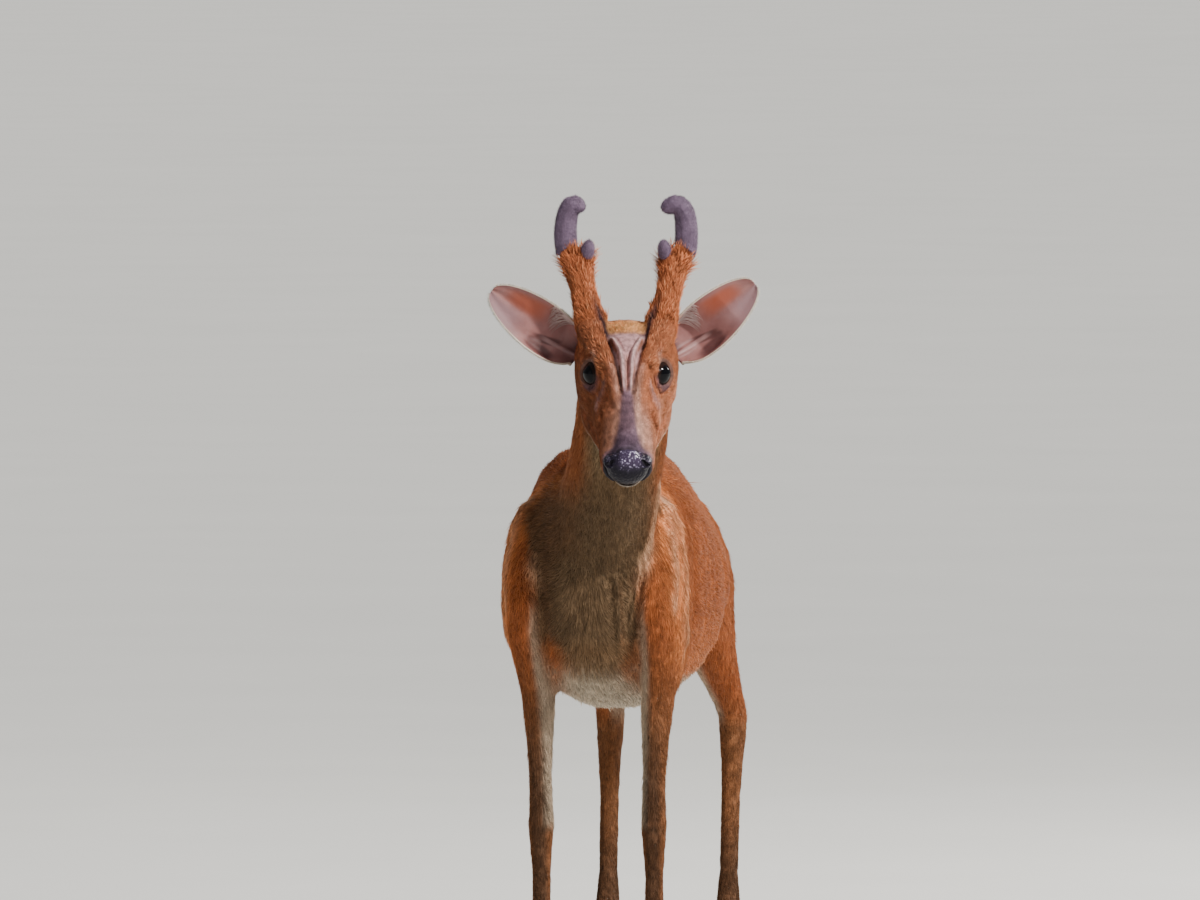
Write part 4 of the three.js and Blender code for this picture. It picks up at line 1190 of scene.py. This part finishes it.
ball_gap = 0.35  # in mm, between the ball and the solid eye
bulge_height, bulge_width = 0.05, 0.5
pupil_long, pupil_tall = 0.95, 0.7
for side_name, sign in (("left", 1), ("right", -1)):
    axes = head_axes @ eye_axes(sign)[:, [1, 2, 0]]  # along the opening, across it, and outward
    centre = from_head(eye_place[0] * sign, eye_place[1], eye_place[2])
    rows, columns = 40, 64
    points = []
    for r in range(rows + 1):
        angle = math.pi * r / rows
        ring_radius = math.sin(angle)
        ball_radius = (eye_radius - ball_gap) * (1 + bulge_height * hump(angle, bulge_width))
        for c in range(columns):
            turn = 2 * math.pi * c / columns
            local = np.array((ring_radius * math.cos(turn), ring_radius * math.sin(turn), math.cos(angle)))
            points.append(centre + axes @ local * ball_radius / 1000)
    ball_faces = wound(rows, columns)
    ball_name = f"eye_ball_{side_name}"
    ball = mesh_piece(ball_name, points, ball_faces, eye_finish.material, [f"eye_{side_name}"])
    ball_local = (points_of(ball.data) - centre) @ axes * 1000 / eye_radius
    carry(ball.data, "iris", "FLOAT", np.hypot(ball_local[:, 0] / pupil_long, ball_local[:, 1] / pupil_tall))

    steps, count = 120, 10
    rim_points = []
    pale = []
    for s in range(steps):
        turn = 2 * math.pi * s / steps
        along_at = lid_long * math.cos(turn)
        high_at = lid_tall * math.sin(turn)
        height = math.sqrt(max(eye_radius**2 - along_at**2 - high_at**2, 0.5))
        middle = np.array((along_at, high_at, height))
        outwards = middle / np.linalg.norm(middle)
        level = np.array((along_at / lid_long, high_at / lid_tall, 0))
        level -= outwards * (level @ outwards)
        level /= np.linalg.norm(level) + 1e-9
        # where the rim carries the painted highlight: a stretch of the lower rim, on the tube's outer side
        low_side = max(0, math.cos(turn + 1.75)) ** 1.5
        for k in range(count):
            angle = 2 * math.pi * k / count
            reach = outwards * (0.4 + 0.7 * math.sin(angle)) + level * (0.5 + 0.75 * math.cos(angle))
            rim_points.append(centre + axes @ (middle + reach) / 1000)
            pale.append(low_side * max(0, 0.3 + math.sin(angle)))
    rim_faces = [tuple(corner % (steps * count) for corner in face) for face in wound(steps, count)]
    rim_name = f"eye_rim_{side_name}"
    rim = mesh_piece(rim_name, rim_points, rim_faces, rim_finish.material)
    carry(rim.data, "pale", "FLOAT", np.array(pale)[: len(rim.data.vertices)])


# The nose: bare black skin in fine pebbles, wet and shining, with a comma-shaped nostril on each side. Its
# upper side is painted lighter as if lit, with painted glints on the pebbles there.
nose_finish = Finish("nose_skin")
nose_place = nose_finish.place()
pebble_sockets = {"Vector": nose_place, "Scale": 520.0}
pebbles = nose_finish.put("ShaderNodeTexVoronoi", {"feature": "SMOOTH_F1"}, pebble_sockets)
nose_noise = nose_finish.noise(nose_place, 160.0)
lit_nose_top = nose_finish.mark("top")
pebble_glints = (0.42 - pebbles).between(0.0, 0.3) * nose_noise.between(0.42, 0.60)
nose_colour = nose_finish.tint(nose_noise, (0.003, 0.003, 0.005, 1), (0.008, 0.007, 0.012, 1))
# painted light: the upper side lighter, and painted glints on the crowns of its pebbles
nose_colour = nose_finish.tint(lit_nose_top * 0.8, nose_colour, (0.060, 0.042, 0.080, 1))
nose_colour = nose_finish.tint(lit_nose_top * pebble_glints, nose_colour, (0.52, 0.46, 0.66, 1))
nose_bump = nose_finish.bump(1 - pebbles, strength=0.7, distance=0.0010)
nose_finish.set(
    Base_Color=nose_colour,
    Roughness=0.30 - 0.18 * lit_nose_top + 0.10 * nose_noise,
    Specular_IOR_Level=0.20,
    Specular_Tint=(0.90, 0.84, 1.0, 1),
    Normal=nose_bump,
)
nose_mesh = remeshed(solid_copy(["nose"], 0), 0.0008)
put_points(nose_mesh, sloped_nose(points_of(nose_mesh)))
eased(nose_mesh, 8, 0.8)
nose_across, _, nose_up = head_place(points_of(nose_mesh))
# the upper middle of the pad, where the painted light goes
lit_upper_side = soft(normals_of(nose_mesh) @ head_axes[:, 2], -0.1, 0.7) * soft(nose_up, -28, -18)
lit_upper_side *= 1 - 0.8 * soft(np.abs(nose_across - 1.5), 7, 13)
carry(nose_mesh, "top", "FLOAT", lit_upper_side)
stand(nose_mesh, "nose_pad", nose_finish.material, ["nose"])


# The ears: thin leaf-shaped cups of skin, rolled into a tube at the root. Bare and mauve pink inside with a
# warm patch painted where light would come through, brown-haired behind, with a pale fringe on the rim.
ear_length = 97  # all in mm, the foot in the head's frame
ear_half = 23
ear_root_half = 12
ear_lean = math.radians(6)
ear_turn = math.radians(8)
ear_spread = {"left": math.radians(48.5), "right": math.radians(53.5)}
ear_foot = (41, -46, -9)
ear_start, ear_end = 0.012, 0.995  # of its length

ear_finish = Finish("ear_skin")
ear_run = ear_finish.mark("ear_run")
ear_side = ear_finish.mark("ear_side")
inside = ear_finish.mark("inside")
ear_place = ear_finish.place()
ear_noise = ear_finish.noise(ear_place, 60.0, 4.0)
veins = ear_finish.noise(ear_place, 240.0, 3.0)
ear_pinks = (0.245, 0.105, 0.098, 1), (0.335, 0.160, 0.150, 1)
inner_colour = ear_finish.tint(ear_noise.between(0.3, 0.7), *ear_pinks)
greyed = ear_run.between(0.5, 0.8) * ear_side.between(-0.1, 0.4)
# a painted glow: orange where light would shine through the thin cup
warm = ear_run.near(0.66, 0.26) * ear_side.near(-0.42, 0.5)
# painted shade in the cup's two pits and in the root of its tube
upper_pit = ear_run.near(0.34, 0.17) * (ear_side - ear_run * 1.15).near(-0.11, 0.17)
lower_pit = ear_run.near(0.34, 0.20) * ear_side.near(0.66, 0.26)
root_pit = (1 - ear_run.between(0.03, 0.2)) * (1 - ear_side.between(0.1, 0.3))
# a painted highlight along the ridge of the fold in the lower part of the cup
crease = (ear_side - ear_run * 0.4).near(0.13, 0.09) * (1 - ear_run.between(0.32, 0.42))
for share, tone in (
    (greyed * 0.8, (0.285, 0.170, 0.185, 1)),
    (warm * (0.6 + 0.6 * ear_noise), (0.33, 0.070, 0.032, 1)),
    # painted shade in the pits and the root
    ((upper_pit + lower_pit + root_pit).between(0.0, 0.9) * 0.8, (0.085, 0.032, 0.032, 1)),
    (crease * 0.7, (0.42, 0.25, 0.24, 1)),
    ((ear_side * ear_side).between(0.88, 0.97), (0.74, 0.64, 0.53, 1)),
):
    inner_colour = ear_finish.tint(share, inner_colour, tone)
ear_colour = ear_finish.tint(inside, (0.20, 0.100, 0.052, 1), inner_colour)
ear_finish.set(
    Base_Color=ear_colour,
    Roughness=0.5,
    Specular_IOR_Level=0.3,
    Normal=ear_finish.bump(veins, strength=0.4, distance=0.0006),
    Subsurface_Weight=0.12,
    Subsurface_Radius=(0.004, 0.0016, 0.001),
)


def ear_wall(t, v):
    """Half the thickness of the cup, in mm."""
    return (1.1 - 0.65 * abs(v) ** 3) * (1 - 0.4 * t)


def ear_point(t, v, wall):
    """A point of the cup in the ear's own frame, in mm: t up its length, v from edge to edge."""
    leaf = math.sin(math.pi * t**0.82) ** 0.43
    width = max(ear_half * leaf, ear_root_half * (1 - t) ** 2.5, 0.8)
    bend = math.radians(125 - 92 * min(1, t * 1.5))
    radius = width / math.sin(min(bend, math.pi / 2))
    backward = radius * math.cos(min(bend, math.pi / 2))
    angle = bend * v
    ripple = 0.5 * math.sin(9 * v + 3 * t) * soft(t, 0.1, 0.35) * (1 - abs(v))
    pit = 2.4 * hump(t - 0.34, 0.14) * hump(v - 1.15 * t + 0.11, 0.13)
    pit += 2.0 * hump(t - 0.36, 0.16) * hump(v - 0.66, 0.16)
    fold = 2.8 * hump(v - 0.4 * t - 0.13, 0.10) * (1 - soft(t, 0.3, 0.45)) * (wall < 0)
    reach = radius + wall + ripple + pit - fold
    return np.array((reach * math.sin(angle), reach * math.cos(angle) - backward, t * ear_length))


def ear_turn_of(side_name):
    """The turn from an ear's own frame to the head's."""
    back_over = Matrix.Rotation(-head_pitch - ear_lean, 3, "X")
    outward = Matrix.Rotation(ear_spread[side_name], 3, "Y")
    return np.array(back_over @ outward @ Matrix.Rotation(ear_turn, 3, "Z"))


def from_ear(turn, sign, places):
    """Places in an ear's own frame moved to the shared frame."""
    local = np.array(places) @ turn.T + np.array((ear_foot[0], -ear_foot[1], ear_foot[2]))
    return np.array(eyes_middle) + (local * (sign, 1, 1)) @ head_axes.T / 1000


def ear_strands():
    """Fine pale hairs that lie in a fan over the inner side of the cup, from its inner edge."""
    chance = np.random.default_rng(11)
    strands, steps, count = 46, 9, 4
    inner_edge = -0.98
    points = []
    faces = []
    for strand in range(strands):
        from_t = 0.12 + 0.33 * strand / (strands - 1)
        to_t = 0.31 + 0.32 * from_t + chance.uniform(-0.03, 0.03)
        to_v = -0.3 + 0.3 * math.sin(from_t * 9) + chance.uniform(-0.25, 0.1)
        first = len(points)
        for step in range(steps):
            s = step / (steps - 1)
            t = from_t + (to_t - from_t) * (1 - (1 - s) ** 2)
            v = inner_edge + (to_v - inner_edge) * s
            off = ear_wall(t, v) + 0.35 + 0.7 * math.sin(math.pi * s)
            thick = 0.34 * (1 - s) ** 0.8 + 0.04
            for k in range(count):
                angle = 2 * math.pi * k / count
                place = ear_point(t, v, -off - thick * math.cos(angle))
                points.append(place + np.array((0, 0, thick * math.sin(angle))))
        faces += wound(steps - 1, count, first)
        faces += [tuple(end + k for k in range(count)) for end in (first, first + (steps - 1) * count)]
    return points, faces


strand_finish = Finish("ear_strand")
strand_finish.set(Base_Color=(0.46, 0.33, 0.31, 1), Roughness=0.5, Specular_IOR_Level=0.3)
ear_brown = np.array((0.21, 0.105, 0.055))
rim_pale = np.array((0.78, 0.68, 0.56))
ear_manner = manner(short_tuft, 200000, width=0.10, lift=0.12, stray=0.16, wave=0.4)

for side_name, sign in (("left", 1), ("right", -1)):
    turn = ear_turn_of(side_name)
    rows, columns = 72, 44
    places = []
    runs = []
    for r in range(rows + 1):
        t = ear_start + (ear_end - ear_start) * (r / rows) ** 0.95
        for face_sign in (1, -1):
            for c in range(columns + 1):
                v = (2 * c / columns - 1) * face_sign
                places.append(ear_point(t, v, ear_wall(t, v) * face_sign))
                runs.append((t, v, 0.0 if face_sign > 0 else 1.0))
    count = 2 * (columns + 1)
    faces = wound(rows, count)
    faces += [tuple(end + k for k in range(count)) for end in (0, rows * count)]
    mesh = bpy.data.meshes.new("ear")
    mesh.from_pydata(from_ear(turn, sign, places).tolist(), [], faces)
    runs = np.array(runs)
    for index, mark in enumerate(("ear_run", "ear_side", "inside")):
        carry(mesh, mark, "FLOAT", runs[:, index])
    at_rim = soft(np.abs(runs[:, 1]), 0.84, 0.95) + soft(runs[:, 0], 0.93, 0.97)
    at_rim = np.clip(at_rim, 0, 1)[:, None]
    carry(mesh, "tone", "FLOAT_COLOR", ear_brown * (1 - at_rim) + rim_pale * at_rim)
    outwards = np.stack((1.1 * runs[:, 1] * at_rim[:, 0], 0 * runs[:, 0], np.ones(len(runs))), axis=1)
    carry(mesh, "lie", "FLOAT_VECTOR", unit((outwards @ turn.T * (sign, 1, 1)) @ head_axes.T))
    carry(mesh, "hair", "FLOAT", 0.0042 - 0.0018 * at_rim[:, 0])
    facing_out(mesh)
    stand(mesh, f"ear_cup_{side_name}", ear_finish.material, [f"ear_{side_name}"])
    corner_run = runs[first_corners(mesh)]
    haired = ((corner_run[:, 2] == 0) | (np.abs(corner_run[:, 1]) > 0.93)) & (corner_run[:, 0] < 0.985)
    ear_hide = region_of(mesh, haired)
    grow(f"ear_hair_{side_name}", ear_hide, finish=hair_finish, seed=301 + sign, **ear_manner)
    strand_points, strand_faces = ear_strands()
    strand_places = from_ear(turn, sign, strand_points)
    mesh_piece(f"ear_strands_{side_name}", strand_places, strand_faces, strand_finish.material)


# The antlers: short hooked beams and brow tines, still soft, under a purple-grey velvet of very
# short fine hair that catches the light along their edges.
velvet_finish = Finish("velvet")
velvet_place = velvet_finish.place()
velvet_patches = velvet_finish.noise(velvet_place, 90.0, 3.0)
velvet_grain = velvet_finish.noise(velvet_place, 1500.0, 2.0)
velvet_greys = (0.110, 0.074, 0.115, 1), (0.190, 0.132, 0.200, 1)
velvet_colour = velvet_finish.tint(velvet_patches.between(0.3, 0.7), *velvet_greys)
velvet_bump = velvet_finish.bump(velvet_grain, strength=0.5, distance=0.0004)
velvet_finish.set(Base_Color=velvet_colour, Roughness=0.7, Specular_IOR_Level=0.2, Normal=velvet_bump)
fuzz_finish = coat_finish("velvet_fuzz", True, paleness=0.35, tip_colour=(0.62, 0.52, 0.60, 1))
fuzz_colour = (0.205, 0.142, 0.220)
fuzz_run = np.array((0, 0.2, 1))
fuzz_manner = manner(short_tuft, 130000, width=0.13, lift=0.9, stray=0.4, wave=0.5)
fuzz_length = 0.0022


def recast(node, swell, grain, rounds, share):
    """A solid as an even mesh of its own, with its edges eased."""
    mesh = remeshed(solid_copy([node], swell), grain)
    eased(mesh, rounds, share)
    return mesh


for side_name in ("left", "right"):
    for part in ("beam", "brow_tine"):
        node = f"antler_{side_name}_{part}"
        mesh = recast(node, swell=-0.0003, grain=0.0011, rounds=10, share=0.9)
        stand(mesh, f"velvet_{side_name}_{part}", velvet_finish.material, [node])
        corners = len(mesh.vertices)
        normals = normals_of(mesh)
        carry(mesh, "tone", "FLOAT_COLOR", np.tile(fuzz_colour, (corners, 1)))
        carry(mesh, "lie", "FLOAT_VECTOR", unit(fuzz_run - normals * (normals @ fuzz_run)[:, None]))
        carry(mesh, "hair", "FLOAT", np.full(corners, fuzz_length))
        fuzz_hide = region_of(mesh, np.ones(len(mesh.polygons), bool))
        fuzz_name = f"fuzz_{side_name}_{part}"
        grow(fuzz_name, fuzz_hide, "velvet", finish=fuzz_finish, seed=401, **fuzz_manner)


# The hooves: two narrow claws of black horn on each foot, worn smooth and grown in faint rings.
horn_finish = Finish("hoof_horn")
horn_place = horn_finish.place()
horn_rings = horn_finish.put(
    "ShaderNodeTexWave", {"wave_type": "BANDS", "bands_direction": "Z"},
    {"Vector": horn_place, "Scale": 170.0, "Distortion": 2.0, "Detail": 2.0},
)
horn_noise = horn_finish.noise(horn_place, 120.0)
horn_colour = horn_finish.tint(horn_noise, (0.016, 0.013, 0.012, 1), (0.050, 0.040, 0.034, 1))
horn_bump = horn_finish.bump(horn_rings, strength=0.25, distance=0.0004)
horn_finish.set(Base_Color=horn_colour, Roughness=0.38 + 0.2 * horn_noise, Normal=horn_bump)
for leg in ("foreleg", "hindleg"):
    for side_name in ("left", "right"):
        for claw in ("outer", "inner"):
            node = f"{leg}_{side_name}_hoof_{claw}"
            mesh = recast(node, swell=-0.0001, grain=0.0012, rounds=3, share=0.6)
            stand(mesh, f"claw_{leg}_{side_name}_{claw}", horn_finish.material, [node])

bpy.data.objects.remove(short_tuft)
bpy.data.objects.remove(long_tuft)
bpy.context.view_layer.update()
